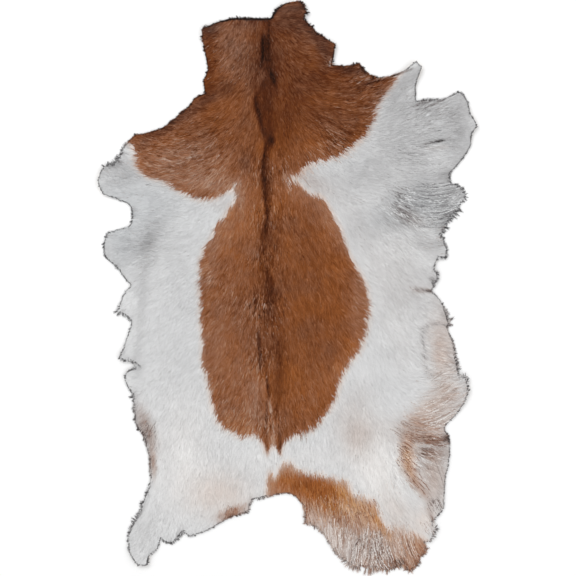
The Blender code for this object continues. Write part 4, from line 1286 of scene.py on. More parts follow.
def streaks(chance, flow, size, steps):
    """A ground grid of noise drawn out along the coat, between about -1 and 1."""
    noise = cloud(chance, size)
    x, y = ground_places()
    total = noise.copy()
    for way in (-1.0, 1.0):
        place_x, place_y = x.copy(), y.copy()
        for _ in range(steps):
            step_x, step_y = at(flow[0], place_x, place_y), at(flow[1], place_x, place_y)
            place_x += way * STEP * step_x
            place_y += way * STEP * step_y
            total += at(noise, place_x, place_y)
    return total / total.std() / 2.0


def usual_length(x, y):
    """How long the hair is at places, blended from the rows of LENGTHS."""
    total, value = np.ones(len(x)), np.full(len(x), HAIR_LENGTH)
    for _, row_x, row_y, reach, length in LENGTHS:
        weight = LENGTH_SHARE * np.exp(-away_from(x, y, row_x, row_y, reach))
        total += weight
        value += weight * length
    return value / total


class Coat:
    """What the coat is like at each place of the hide."""

    def __init__(self, hide, chance):
        self.hide = hide
        self.flow = flow_grids(chance)
        self.locks = streaks(chance, self.flow, size=5.0, steps=9)
        self.strands = streaks(chance, self.flow, size=2.6, steps=6)
        self.mottle = cloud(chance, MOTTLE_SIZE)
        self.dapple = cloud(chance, DAPPLE_SIZE)
        self.ragged = cloud(chance, RAGGED_SIZE)
        self.patches = [rounded(table) for table in PATCHES]
        self.overhang = self.overhangs()
        self.rough = self.roughness()

    def overhangs(self):
        """A ground grid of how far hair may stand past the rim: further near the solid's locks."""
        x, y = ground_places()
        reach = np.full(x.shape, OVERHANG)
        for first, second, tip in self.hide.locks:
            root = (first + second) / 2
            length = math.dist(root[:2], tip[:2])
            reach = np.maximum(reach, length * np.exp(-away_from(x, y, root[0], root[1], LOCK_SPAN)))
        return reach

    def roughness(self):
        """A ground grid of how uneven the coat is."""
        x, y = ground_places()
        patch, _ = self.patch_of(x.ravel(), y.ravel())
        rough = np.where(patch > 0, SMOOTH_BROWN, SMOOTH_WHITE).reshape(x.shape)
        for _, row_x, row_y, reach, added in ROUGH:
            rough += added * np.exp(-away_from(x, y, row_x, row_y, reach))
        return rough

    def lie(self, x, y):
        """The angle in which the coat lies at places."""
        return np.arctan2(at(self.flow[1], x, y), at(self.flow[0], x, y))

    def patch_of(self, x, y):
        """The patch that places lie in, as an index from 1, or 0 for white, and how near its edge is."""
        stray = EDGE_STRAY * at(self.ragged, x, y)
        patch = np.zeros(len(x), int)
        edge = np.full(len(x), np.inf)
        for index, outline in enumerate(self.patches, start=1):
            within = inside(outline, x + stray, y - stray)
            patch = np.where(within & (patch == 0), index, patch)
            edge = np.minimum(edge, distance_to_outline(outline, x, y))
        return patch, np.where(self.in_the_link(x, y), np.inf, edge)

    def in_the_link(self, x, y):
        """True where the saddle runs on into the cape, and no edge shows."""
        left, right = LINK_SIDES
        return (np.abs(y - LINK_MIDDLE) < LINK_HALF_LENGTH) & (x > left) & (x < right)

    def tones(self, x, y):
        """Warmth and lightness of the coat at places, and the patch of each."""
        patch, edge = self.patch_of(x, y)
        brown = patch > 0
        warmth = np.array([tone.warmth for tone in COATS])[patch]
        light = np.array([tone.light for tone in COATS])[patch]
        broken = 1.0 + BROKEN * (at(self.rough, x, y) - BROKEN_FROM) * at(self.strands, x, y)
        broken = np.clip(broken, *BROKEN_RANGE)
        for table, of_coat in ((BROWN_BLOTCHES, brown), (WHITE_BLOTCHES, ~brown)):
            for row in table:
                blotch = Blotch(*row)
                along, across = turned(x - blotch.x, y - blotch.y, math.radians(blotch.turn))
                share = broken * np.exp(-(along / blotch.long) ** 2 - (across / blotch.wide) ** 2)
                share = share * of_coat
                warmth = warmth + blotch.warmer * share
                light = light + blotch.lighter * share
        tufted = np.clip((at(self.overhang, x, y) - OVERHANG) / LONG_OVERHANG, 0.0, 1.0)
        tufted = tufted * np.exp(-(at(self.hide.from_rim, x, y) / TUFT_SHADE_DEPTH) ** 2)
        evenly, with_strands = TUFT_SHADE_PART
        part = np.clip(evenly + with_strands * at(self.strands, x, y), 0.0, MOST_TUFT_SHADE)
        light = light - TUFT_SHADE * tufted * part
        near = np.exp(-(edge / EDGE_BLEND) ** 2)
        warmth = warmth + np.where(brown, BROWN_NEAR_WHITE.warmth, WHITE_NEAR_BROWN.warmth) * near
        light = light + np.where(brown, BROWN_NEAR_WHITE.light, WHITE_NEAR_BROWN.light) * near
        return warmth, light, patch

    def marked(self, x, y, warmth, light):
        """Tones at places with those of the creases, rolls and stripes that cross there. Those of most
        creases and rolls are painted shade, a few painted highlight; the stripes' are the coat's own.
        """
        warmth, light = warmth.copy(), light.copy()
        x = x + MARK_STRAY * at(self.ragged, x, y)
        y = y + MARK_STRAY * at(self.mottle, x, y)
        for run in runs():
            reach = 2.0 * MARK_SPREAD * max(row.width for row in run)
            across, along = [row.x for row in run], [row.y for row in run]
            near = ((x > min(across) - reach) & (x < max(across) + reach)
                    & (y > min(along) - reach) & (y < max(along) + reach))
            share, mark_warmth, mark_light = mark_at(run, x[near], y[near])
            warmth[near] += share * (mark_warmth - warmth[near])
            light[near] += share * (mark_light - light[near])
        return warmth, light

    def worn(self, chance, x, y, wisp, warmth, light):
        """What the unevenness of real hair adds to its warmth and lightness, with a painted sheen that makes
        lighter strands greyer.
        """
        contrast = PALE_TONE + (1.0 - PALE_TONE) * np.clip((PALE_ABOVE - light) / PALE_SPAN, 0.0, 1.0)
        contrast = contrast * at(self.rough, x, y)
        streak = LOCK_TONE * at(self.locks, x, y) + STRAND_TONE * at(self.strands, x, y)
        single = HAIR_TONE * chance.standard_normal(len(x)) + WISP_TONE * wisp
        uneven = contrast * (streak + single)
        mottle, dapple = at(self.mottle, x, y), at(self.dapple, x, y)
        cloudy = CLOUDY * (mottle + DAPPLE_SHARE * dapple)
        cloudy = cloudy * (PALE_CLOUDY + (1.0 - PALE_CLOUDY) * (warmth > WARM_HAIR))
        warmer = WARMER_CLOUDS * mottle + WARMER_DAPPLE * dapple
        warmer = warmer + WARMER_HAIR * chance.standard_normal(len(x))
        # the warmth taken from lighter strands is painted sheen
        return warmer * warmth - SHEEN * uneven * np.clip(warmth, 0.0, 1.0), uneven + cloudy


def runs():
    """The rows of each mark."""
    return [[Mark(*row) for row in rows] for _, *rows in MARKS]


def part_way(first, second, part, names):
    """Named values of a mark, part of the way from one row to the next."""
    for name in names.split():
        start, end = getattr(first, name), getattr(second, name)
        yield start + part * (end - start)


def mark_at(run, x, y):
    """How strongly a mark shows at places, and its warmth and lightness there."""
    share, warmth, light = np.zeros((3, len(x)))
    for first, second in zip(run, run[1:]):
        part, away = place_on_line(x, y, first.x, first.y, second.x, second.y)
        width, tinge, warm, pale = part_way(first, second, part, "width tinge warmth light")
        here = tinge * np.exp(-(away / (MARK_SPREAD * width)) ** 2)
        stronger = here > share
        share = np.where(stronger, here, share)
        warmth, light = np.where(stronger, warm, warmth), np.where(stronger, pale, light)
    return share, warmth, light


def blades(hide, coat, chance, x, y, angle, length, width, tone, uneven=None, above=0.0):
    """Points and tones of blades that lie on the coat, or a little above it, from roots at x, y.

    Where their unevenness is given, they also take the tones of the marks that they cross.
    """
    bend = chance.normal(0.0, HAIR_BEND, len(x)) + LOCK_BEND * at(coat.locks, x, y)
    lift = LIFT + LOCK_LIFT * at(coat.locks, x, y) + HAIR_LIFT * chance.standard_normal(len(x))
    lift = np.clip(lift, LEAST_LIFT, 1.0)
    cos, sin = np.cos(angle), np.sin(angle)
    rough = np.minimum(at(coat.rough, x, y), 1.0)
    roll = np.radians(ROLL * rough * chance.standard_normal(len(x)))
    middle_x, middle_y = x + WIDEST_AT * length * cos, y + WIDEST_AT * length * sin
    tip_x = middle_x + (1 - WIDEST_AT) * length * np.cos(angle + bend)
    tip_y = middle_y + (1 - WIDEST_AT) * length * np.sin(angle + bend)

    def height(place_x, place_y, part):
        base, top = at(hide.base, place_x, place_y), at(hide.top, place_x, place_y)
        past = np.clip(-at(hide.from_rim, place_x, place_y) / SINKING_SPAN, 0.0, 1.0)
        depth = np.maximum(top - base, THINNEST_COAT) * part * (1.0 - SINKING * past)
        return base + HAIR_CLEAR + depth + above

    def lifted(top, flat, raised):
        return UNDERCOAT + (top - UNDERCOAT) * (flat + raised * lift)

    root_z = height(x, y, UNDERCOAT - ROOT_SUNK)
    middle_z = height(middle_x, middle_y, lifted(MIDDLE_TOP, *MIDDLE_LIFT))
    tip_z = height(tip_x, tip_y, lifted(1.0, *TIP_LIFT))
    half = 0.5 * width
    side_x, side_y, side_z = -sin * half * np.cos(roll), cos * half * np.cos(roll), half * np.sin(roll)
    points = np.stack([(x, y, root_z),
                       (middle_x - side_x, middle_y - side_y, middle_z - side_z),
                       (middle_x + side_x, middle_y + side_y, middle_z + side_z),
                       (tip_x, tip_y, tip_z)]).transpose(2, 0, 1)
    warmth, light = (np.repeat(part, 4) for part in tone)
    if uneven is not None:
        warmth, light = coat.marked(points[:, :, 0].ravel(), points[:, :, 1].ravel(), warmth, light)
        calm = np.clip(light / CALM_BELOW, CALMEST, 1.0)
        warmth, light = warmth + calm * np.repeat(uneven[0], 4), light + calm * np.repeat(uneven[1], 4)
    tones = rows_of(warmth, light).reshape(-1, 4, 2)
    # the darker roots paint the shade between the hairs
    tones[:, :, 1] += rough[:, None] * np.array(BLADE_TONES)
    return points, np.clip(tones, *TONE_RANGE)


def hair_length_within(hide, coat, chance, x, y, angle, length):
    """Lengths cut back where a hair would stand too far past the rim."""
    length = length.copy()
    spare = OVERHANG_SPREAD * chance.standard_normal(len(x))
    for _ in range(CUTS):
        tip_x, tip_y = x + length * np.cos(angle), y + length * np.sin(angle)
        past = -at(hide.from_rim, tip_x, tip_y) - at(coat.overhang, tip_x, tip_y) - spare
        length = np.where(past > 0.0, np.maximum(length - CUT_SHARE * past, SHORTEST), length)
    return length


def coat_blades(hide, coat, chance):
    """The blades of the whole coat, with the piece that each belongs to."""
    columns = int(2 * HALF_WIDTH / ROOT_SPACING)
    rows = int(2 * HALF_LENGTH / ROOT_SPACING)
    x, y = np.meshgrid(np.arange(columns) * ROOT_SPACING - HALF_WIDTH,
                       np.arange(rows) * ROOT_SPACING - HALF_LENGTH)
    x = x.ravel() + chance.uniform(-0.5, 0.5, x.size) * ROOT_SPACING
    y = y.ravel() + chance.uniform(-0.5, 0.5, y.size) * ROOT_SPACING
    kept = (at(hide.from_rim, x, y) > ROOTS_INSIDE) & inside(hide.outline, x, y)
    x, y = x[kept], y[kept]
    centre_x, centre_y, wisp_sway, wisp_tone = wisps(chance, x, y)
    centre_angle = coat.lie(centre_x, centre_y) + np.radians(WISP_SWAY) * wisp_sway
    angle = coat.lie(x, y) + np.radians(chance.normal(0.0, HAIR_SWAY, len(x)))
    length = usual_length(x, y) * chance.uniform(*LENGTH_SPREAD, len(x))
    guard = chance.random(len(x)) < GUARD_HAIRS
    length = np.where(guard, GUARD_LENGTH, 1.0) * length
    aim_x = x + length * np.cos(angle) - CLUMPING * (x - centre_x)
    aim_x += CLUMPING * length * (np.cos(centre_angle) - np.cos(angle))
    aim_y = y + length * np.sin(angle) - CLUMPING * (y - centre_y)
    aim_y += CLUMPING * length * (np.sin(centre_angle) - np.sin(angle))
    angle = np.arctan2(aim_y - y, aim_x - x)
    length = hair_length_within(hide, coat, chance, x, y, angle, length)
    width = HAIR_WIDTH * np.where(guard, GUARD_WIDTH, chance.uniform(*WIDTH_SPREAD, len(x)))
    reach = np.clip(REACH_OF_ROOT + REACH_STRAY * wisp_sway, LEAST_REACH, 1.0) * length
    warmth, light, patch = coat.tones(x + reach * np.cos(angle), y + reach * np.sin(angle))
    uneven = coat.worn(chance, x, y, wisp_tone, warmth, light)
    light = light + np.where(guard & (patch > 0), GUARD_TONE, 0.0)
    points, tones = blades(hide, coat, chance, x, y, angle, length, width, (warmth, light), uneven)
    return points, tones, piece_of(x, y, patch)


def wisps(chance, x, y):
    """The middle, sway and tone of the wisp that each root belongs to."""
    turn = math.radians(WISP_TURN)
    along, across = (places / WISP + chance.normal(0.0, WISP_STRAY, len(x)) for places in turned(x, y, turn))
    column, row = np.floor(along).astype(int), np.floor(across).astype(int)
    column, row = column - column.min(), row - row.min()
    low_column, low_row = math.floor(along.min()), math.floor(across.min())
    shape = (column.max() + 1, row.max() + 1)
    middle = chance.uniform(*WISP_MIDDLES, (2, *shape))
    along = (column + low_column + middle[0, column, row]) * WISP
    across = (row + low_row + middle[1, column, row]) * WISP
    centre_x, centre_y = turned(along, across, -turn)
    sway, tone = chance.standard_normal((2, *shape))
    return centre_x, centre_y, sway[column, row], tone[column, row]


PIECES = (
    "white_upper_left", "white_lower_left", "white_upper_right", "white_lower_right",
    "brown_saddle", "brown_cape", "brown_rump",
)


def piece_of(x, y, patch):
    """The index in PIECES of the piece that hair from each root goes to."""
    quarter = np.where(x < 0.0, 0, 2) + np.where(y < 0.0, 1, 0)
    return np.where(patch == 0, quarter, patch + 3)


def tuft_blades(hide, coat, chance):
    """Blades of the spiky tufts that stand out past the rim where the solid has locks."""
    roots, aims, shades = [], [], []
    for first, second, tip in hide.locks:
        first, second, tip = first[:2], second[:2], tip[:2]
        middle = (first + second) / 2
        size = math.dist(middle, tip)
        out = (tip - middle) / size
        side = np.array([-out[1], out[0]])
        for spike in range(SPIKES):
            place = spike - 0.5 * (SPIKES - 1) + chance.normal(0.0, SPIKE_STRAY)
            foot = middle + side * (place * math.dist(first, second) / SPIKES)
            reach = size if spike == SPIKES // 2 else size * chance.uniform(*SPIKE_REACH)
            way = out + side * chance.normal(0.0, SPIKE_LEAN)
            across = chance.uniform(-1.0, 1.0, (SPIKE_HAIRS, 1))
            back = chance.uniform(*SPIKE_ROOT, (SPIKE_HAIRS, 1))
            roots.append(foot + SPIKE_HALF_WIDTH * across * side - back * way)
            aims.append(foot + reach * way + chance.normal(0.0, SPIKE_FRAY, (SPIKE_HAIRS, 2)))
            pale = 1.0 - SPIKE_SHADE * across[:, 0] ** 2
            dark = np.full(SPIKE_HAIRS, chance.uniform(*SPIKE_DARKNESS))
            shades.append(pale if chance.random() < PALE_SPIKES else dark)
    root, aim, shade = np.concatenate(roots), np.concatenate(aims), np.concatenate(shades)
    kept = at(hide.from_rim, root[:, 0], root[:, 1]) > SPIKE_INSIDE
    root, run, shade = root[kept], (aim - root)[kept], shade[kept]
    x, y = root[:, 0], root[:, 1]
    width = HAIR_WIDTH * chance.uniform(*SPIKE_BLADE, len(x))
    warmth, light, patch = coat.tones(x, y)
    shade = np.minimum(shade * np.array(SPIKE_OF_PATCH)[patch], 1.0)
    tone = (warmth * np.sqrt(shade), light * shade)
    return blades(hide, coat, chance, x, y, *aimed(run), width, tone, above=RIM_LIFT)


def rim_blades(hide, coat, chance):
    """Blades of short dark hair all along the rim, drawn together in small points: painted shadow at the
    hide's edge.
    """
    ends = np.roll(hide.outline, -1, axis=0)
    run = ends - hide.outline
    _, size = aimed(run)
    reach = np.concatenate([[0.0], np.cumsum(size)])
    place = np.arange(0.0, reach[-1], RIM_SPACING)
    side = np.clip(np.searchsorted(reach, place, side="right") - 1, 0, len(size) - 1)
    part = ((place - reach[side]) / size[side])[:, None]
    edge = hide.outline[side] + run[side] * part
    along = run[side] / size[side][:, None]
    out = rows_of(along[:, 1], -along[:, 0])
    clump = np.floor(place / RIM_CLUMP + chance.normal(0.0, RIM_CLUMP_STRAY, len(place))).astype(int)
    clump = clump - clump.min()
    lean, far = chance.standard_normal((2, clump.max() + 1))
    to_middle = (clump + 0.5) * RIM_CLUMP - place
    near_lock = np.clip(at(coat.overhang, edge[:, 0], edge[:, 1]) - OVERHANG, 0.0, LONG_OVERHANG)
    past = RIM_PAST + RIM_POINTS * np.abs(far[clump]) * (1.0 + near_lock)
    past = past + chance.uniform(-RIM_FRAY, RIM_FRAY, len(place))
    patch, _ = coat.patch_of(edge[:, 0], edge[:, 1])
    deep = chance.uniform(*RIM_DEPTH, len(place)) + RIM_DEEPER * (patch == CAPE_PATCH)
    root = edge - out * deep[:, None]
    aside = to_middle * RIM_CLUMPING + RIM_LEAN * lean[clump] * past
    step = edge + out * past[:, None] + along * aside[:, None] - root
    warmth, light, _ = coat.tones(root[:, 0], root[:, 1])
    # how dark the painted edge shadow is, at each patch
    dark = chance.uniform(*RIM_DARKNESS, len(place)) * np.array(RIM_OF_PATCH)[patch]
    width = HAIR_WIDTH * chance.uniform(*RIM_BLADE, len(place))
    tone = (RIM_COOLER * warmth, light * dark)
    return blades(hide, coat, chance, root[:, 0], root[:, 1], *aimed(step), width, tone, above=RIM_LIFT)


def loose_blades(hide, coat, chance):
    """Loose hairs along the creases, rolls and stripes. In the creases, slits and folds their dark stands
    for the shade there; along the stripes they are the coat's own hair.
    """
    pieces = []
    for run in runs():
        for first, second in zip(run, run[1:]):
            size = math.dist((first.x, first.y), (second.x, second.y))
            count = int(size * (first.hairs + second.hairs) / 2)
            part = chance.uniform(0.0, 1.0, count)
            width, warmth, light = part_way(first, second, part, "width warmth light")
            angle = math.atan2(second.y - first.y, second.x - first.x)
            across = LOOSE_SPREAD * width * chance.standard_normal(count)
            length = chance.uniform(*LOOSE_LENGTH, count)
            along = part * size - 0.5 * length
            x = first.x + along * math.cos(angle) - across * math.sin(angle)
            y = first.y + along * math.sin(angle) + across * math.cos(angle)
            turn = angle + np.radians(LOOSE_TURN * chance.standard_normal(count))
            light = light + LOOSE_TONE * chance.standard_normal(count)
            pieces.append(rows_of(x, y, turn, length, warmth, light))
    x, y, turn, length, warmth, light = within_rim(hide, np.concatenate(pieces))
    width = HAIR_WIDTH * chance.uniform(*LOOSE_WIDTH, len(x))
    return blades(hide, coat, chance, x, y, turn, length, width, (warmth, light), above=LOOSE_LIFT)


def within_rim(hide, rows):
    """The columns of rows that start with x and y, without the rows near the rim or past it."""
    kept = at(hide.from_rim, rows[:, 0], rows[:, 1]) > WELL_INSIDE
    return rows[kept].T


def tapered(step, steps, share):
    """How thick a strand is at one of its blades: less by up to a share towards its ends."""
    return 1.0 - share * abs(2.0 * (step + 0.5) / steps - 1.0)


def fan_blades(hide, coat, chance):
    """Blades of the long strands that lie side by side on one curve."""
    pieces = []
    for row in FANS:
        fan = Fan(*row)
        start, over, end = (np.array(point) for point in
                            ((fan.x, fan.y), (fan.over_x, fan.over_y), (fan.end_x, fan.end_y)))
        steps = int(math.dist(start, end) / FAN_STEP) + 1
        side = fan.spread * (np.arange(fan.strands) / (fan.strands - 1) - 0.5)
        side = side + chance.normal(0.0, 0.5 * fan.spread / fan.strands, fan.strands)
        shift = chance.normal(0.0, FAN_SHIFT, fan.strands)
        size = chance.uniform(*FAN_SIZE, fan.strands)
        tone = chance.normal(0.0, FAN_TONE, fan.strands)
        bow = chance.normal(0.0, FAN_BOW, fan.strands) * math.dist(start, end)
        for step in range(steps):
            part = shift + size * (step + 0.5) / steps
            place = ((1 - part) ** 2)[:, None] * start + (2 * part * (1 - part))[:, None] * over
            place = place + (part**2)[:, None] * end
            way = (1 - part)[:, None] * (over - start) + part[:, None] * (end - over)
            angle = np.arctan2(way[:, 1], way[:, 0])
            beside = side + bow * np.sin(np.pi * part)
            x, y = place[:, 0] - beside * np.sin(angle), place[:, 1] + beside * np.cos(angle)
            stretch = FAN_OVERLAP * size * math.dist(start, end) / steps
            width = tapered(step, steps, FAN_TAPER) * FAN_WIDTH * fan.width
            pieces.append(rows_of(x, y, angle, stretch, width, fan.warmth, fan.light + tone))
    x, y, angle, length, width, warmth, light = within_rim(hide, np.concatenate(pieces))
    length = hair_length_within(hide, coat, chance, x, y, angle, length)
    return blades(hide, coat, chance, x, y, angle, length, width, (warmth, light), above=FAN_LIFT)


def streak_blades(hide, coat, chance):
    """Blades of the strands that show singly, each following the coat from its start."""
    pieces = []
    for row in STREAKS:
        streak = Streak(*row)
        x, y = (np.array([[streak.x], [streak.y]])
                + streak.reach * STREAK_SPREAD * chance.standard_normal((2, streak.count)))
        patch, _ = coat.patch_of(x, y)
        kept = inside(hide.outline, x, y) & (at(hide.from_rim, x, y) > STREAK_INSIDE)
        kept &= (patch > 0) == (streak.coat == "brown")
        x, y = x[kept], y[kept]
        light = streak.light + chance.normal(0.0, STREAK_TONE, len(x))
        steps = max(int(streak.length * STREAK_STEPS), LEAST_STREAK_STEPS)
        stretch = streak.length / steps
        for step in range(steps):
            angle = coat.lie(x, y) + np.radians(chance.normal(0.0, STREAK_SWAY, len(x)))
            thin = tapered(step, steps, STREAK_TAPER)
            inner = at(hide.from_rim, x, y) > STREAK_END
            rows = rows_of(x, y, angle, STREAK_OVERLAP * stretch, thin, streak.warmth, light)
            pieces.append(rows[inner])
            x, y = x + stretch * np.cos(angle), y + stretch * np.sin(angle)
    x, y, angle, length, thin, warmth, light = np.concatenate(pieces).T
    length = hair_length_within(hide, coat, chance, x, y, angle, length)
    return blades(hide, coat, chance, x, y, angle, length, STREAK_WIDTH * HAIR_WIDTH * thin,
                  (warmth, light), above=LOOSE_LIFT)


def placed(name, data, place=(0.0, 0.0, 0.0)):
    """A new object of some data, at a place in the scene."""
    made = bpy.data.objects.new(name, data)
    made.location = place
    bpy.context.scene.collection.objects.link(made)
    return made


def joined_blades(name, points, tones, material):
    """One mesh of many blades, two triangles each, with their tones on its map."""
    count = len(points)
    mesh = bpy.data.meshes.new(name)
    mesh.vertices.add(4 * count)
    mesh.vertices.foreach_set("co", (points * MM).astype(np.float32).ravel())
    root, left, right, tip = range(4)
    corners = np.array([root, left, right, left, tip, right])
    index = (np.arange(count)[:, None] * 4 + corners).ravel()
    mesh.loops.add(len(index))
    mesh.loops.foreach_set("vertex_index", index.astype(np.int32))
    mesh.polygons.add(2 * count)
    mesh.polygons.foreach_set("loop_start", np.arange(0, len(index), 3, dtype=np.int32))
    mesh.update(calc_edges=True)
    mesh.uv_layers.new(name="OFBake").uv.foreach_set(
        "vector", tones.reshape(-1, 2)[index].astype(np.float32).ravel())
    mesh.materials.append(material)
    return placed(name, mesh)


def linear(channel):
    """A channel from 0 to 255 as the light that it stands for, by the curve of usual screens."""
    share = channel / 255.0
    return share / 12.92 if share <= 0.04045 else ((share + 0.055) / 1.055) ** 2.4


def shown(red, green, blue):
    """A colour given from 0 to 255, as a node takes it."""
    return (linear(red), linear(green), linear(blue), 1.0)


class Shading:
    """A new material, with its nodes and what joins them."""

    def __init__(self, name):
        self.material = bpy.data.materials.new(name)
        self.material.use_nodes = True
        self.nodes, self.links = self.material.node_tree.nodes, self.material.node_tree.links
        self.shader = self.nodes["Principled BSDF"]

    def give(self, name, value):
        """Gives one of the shader's inputs another node's value."""
        self.links.new(value, self.shader.inputs[name])

    def place(self):
        """Where a point lies on its piece, in metres."""
        return self.nodes.new("ShaderNodeTexCoord").outputs["Object"]

    def apart(self, vector):
        """The first two numbers of a vector."""
        node = self.nodes.new("ShaderNodeSeparateXYZ")
        self.links.new(vector, node.inputs[0])
        return node.outputs[0], node.outputs[1]

    def noise(self, place, scale, detail):
        """Noise of a scale at a place."""
        node = self.nodes.new("ShaderNodeTexNoise")
        node.inputs["Scale"].default_value = scale
        node.inputs["Detail"].default_value = detail
        self.links.new(place, node.inputs["Vector"])
        return node.outputs[0]

    def mapped(self, value, low, high, to_low, to_high):
        """A value moved from one range to another."""
        node = self.nodes.new("ShaderNodeMapRange")
        self.links.new(value, node.inputs["Value"])
        for name, number in (("From Min", low), ("From Max", high), ("To Min", to_low), ("To Max", to_high)):
            node.inputs[name].default_value = number
        return node.outputs[0]

    def spread(self, noise, low, high):
        """A noise whose values run from low to high."""
        return self.mapped(noise, *NOISE_RANGE, low, high)

    def added(self, first, second):
        """Two values together."""
        node = self.nodes.new("ShaderNodeMath")
        node.operation = "ADD"
        self.links.new(first, node.inputs[0])
        self.links.new(second, node.inputs[1])
        return node.outputs[0]

    def mixed(self, share, first, second):
        """Two colours mixed by a share. Each may be another node's value."""
        node = self.nodes.new("ShaderNodeMix")
        node.data_type = "RGBA"
        sockets = (node.inputs[0], node.inputs[6], node.inputs[7])
        for socket, given in zip(sockets, (share, first, second)):
            if isinstance(given, bpy.types.NodeSocket):
                self.links.new(given, socket)
            else:
                socket.default_value = given
        return node.outputs[2]

    def ramp(self, table, light):
        """A colour ramp of one warmth, from dark to light."""
        node = self.nodes.new("ShaderNodeValToRGB")
        elements = node.color_ramp.elements
        for place, row in enumerate(table):
            stop = Stop(*row)
            element = elements[place] if place < len(elements) else elements.new(stop.light)
            element.position = stop.light
            element.color = shown(stop.red, stop.green, stop.blue)
        self.links.new(light, node.inputs[0])
        return node.outputs[0]

    def colour_of_tone(self, warmth, light):
        """The colour of a warmth and a lightness."""
        cool, rosy, orange = (self.ramp(table, light) for table in (COOL, ROSY, ORANGE))
        lower = self.mapped(warmth, low=0.0, high=0.5, to_low=0.0, to_high=1.0)
        upper = self.mapped(warmth, low=0.5, high=1.0, to_low=0.0, to_high=1.0)
        return self.mixed(upper, self.mixed(lower, cool, rosy), orange)

    def bump(self, height, strength, distance):
        """Gives the shader a bump from a height."""
        node = self.nodes.new("ShaderNodeBump")
        node.inputs["Strength"].default_value = strength
        node.inputs["Distance"].default_value = distance
        self.links.new(height, node.inputs["Height"])
        self.give("Normal", node.outputs[0])


def hair_material():
    """Sleek goat hair. Its map holds the tone of each blade, and fine hairs run along it."""
    look = Shading("goat_hair")
    tone = look.nodes.new("ShaderNodeUVMap")
    tone.uv_map = "OFBake"
    warmth, light = look.apart(tone.outputs[0])
    stretched = look.nodes.new("ShaderNodeMapping")
    stretched.inputs["Scale"].default_value = (260.0, 9.0, 1.0)
    look.links.new(tone.outputs[0], stretched.inputs["Vector"])
    fine = look.noise(stretched.outputs[0], scale=1.0, detail=2.0)
    light = look.added(light, look.spread(fine, low=-0.03, high=0.03))
    look.give("Base Color", look.colour_of_tone(warmth, light))
    look.give("Roughness", look.spread(fine, low=0.46, high=0.62))
    look.shader.inputs["Specular IOR Level"].default_value = 0.08
    look.bump(fine, strength=0.25, distance=0.0004)
    return look.material


def undercoat_material():
    """The short dense hair under the coat, in the coat's own tones."""
    look = Shading("goat_undercoat")
    tone = look.nodes.new("ShaderNodeAttribute")
    tone.attribute_name = "tone"
    warmth, light = look.apart(tone.outputs["Vector"])
    fine = look.noise(look.place(), scale=900.0, detail=4.0)
    light = look.added(light, look.spread(fine, low=-0.16, high=0.0))
    look.give("Base Color", look.colour_of_tone(warmth, light))
    look.give("Roughness", look.spread(fine, low=0.7, high=0.9))
    look.bump(fine, strength=0.8, distance=0.001)
    return look.material


def suede_material():
    """The tanned flesh side: cream suede with a fine nap, cloudy in colour."""
    look = Shading("tanned_flesh_side")
    place = look.place()
    clouds = look.noise(place, scale=16.0, detail=5.0)
    cloudy = look.mapped(clouds, low=0.32, high=0.68, to_low=0.0, to_high=1.0)
    nap = look.noise(place, scale=700.0, detail=5.0)
    colour = look.mixed(cloudy, shown(182, 158, 128), shown(222, 206, 182))
    grain = look.mixed(look.spread(nap, low=0.0, high=1.0), shown(160, 134, 104), shown(236, 222, 200))
    look.give("Base Color", look.mixed(GRAIN, colour, grain))
    look.give("Roughness", look.spread(nap, low=0.82, high=0.96))
    look.shader.inputs["Specular IOR Level"].default_value = 0.2
    look.bump(nap, strength=0.6, distance=0.0008)
    return look.material


def cut_edge_material():
    """The knife's cut through the skin: dark grey brown and fibrous."""
    look = Shading("cut_edge")
    fibre = look.noise(look.place(), scale=500.0, detail=6.0)
    look.give("Base Color", look.mixed(look.spread(fibre, low=0.0, high=1.0),
                                       shown(40, 32, 27), shown(96, 82, 70)))
    look.give("Roughness", look.spread(fibre, low=0.7, high=0.92))
    look.bump(fibre, strength=0.7, distance=0.0006)
    return look.material


def hide_sheet(hide, coat):
    """The hide as one thin closed sheet: undercoat above, flesh side below, cut edge between."""
    above, below, edge = range(3)
    body = hide.body
    upper_of = {lower: upper for upper, lower in hide.lower_of.items()}
    for face in body.faces:
        face.material_index = above if face.normal.z > 0 else below
        face.smooth = True
    for vert in {vert for face in body.faces if face.material_index == above for vert in face.verts}:
        if vert in hide.lower_of:
            vert.co.z = hide.lower_of[vert].co.z + SKIN * MM
            continue
        base = float(at(hide.base, np.array([vert.co.x / MM]), np.array([vert.co.y / MM]))[0]) * MM
        vert.co.z = base + max(UNDERCOAT * (vert.co.z - base), SKIN * MM)
    for lower, after in zip(hide.rim, hide.rim[1:] + hide.rim[:1]):
        wall = body.faces.new((lower, after, upper_of[after], upper_of[lower]))
        wall.material_index = edge
    bmesh.ops.subdivide_edges(body, edges=body.edges, cuts=1, use_grid_fill=True)
    bmesh.ops.triangulate(body, faces=body.faces)
    bmesh.ops.recalc_face_normals(body, faces=body.faces)
    mesh = bpy.data.meshes.new("hide")
    body.to_mesh(mesh)
    body.free()
    paint_tones(mesh, coat)
    for material in (undercoat_material(), suede_material(), cut_edge_material()):
        mesh.materials.append(material)
    return placed("hide", mesh)


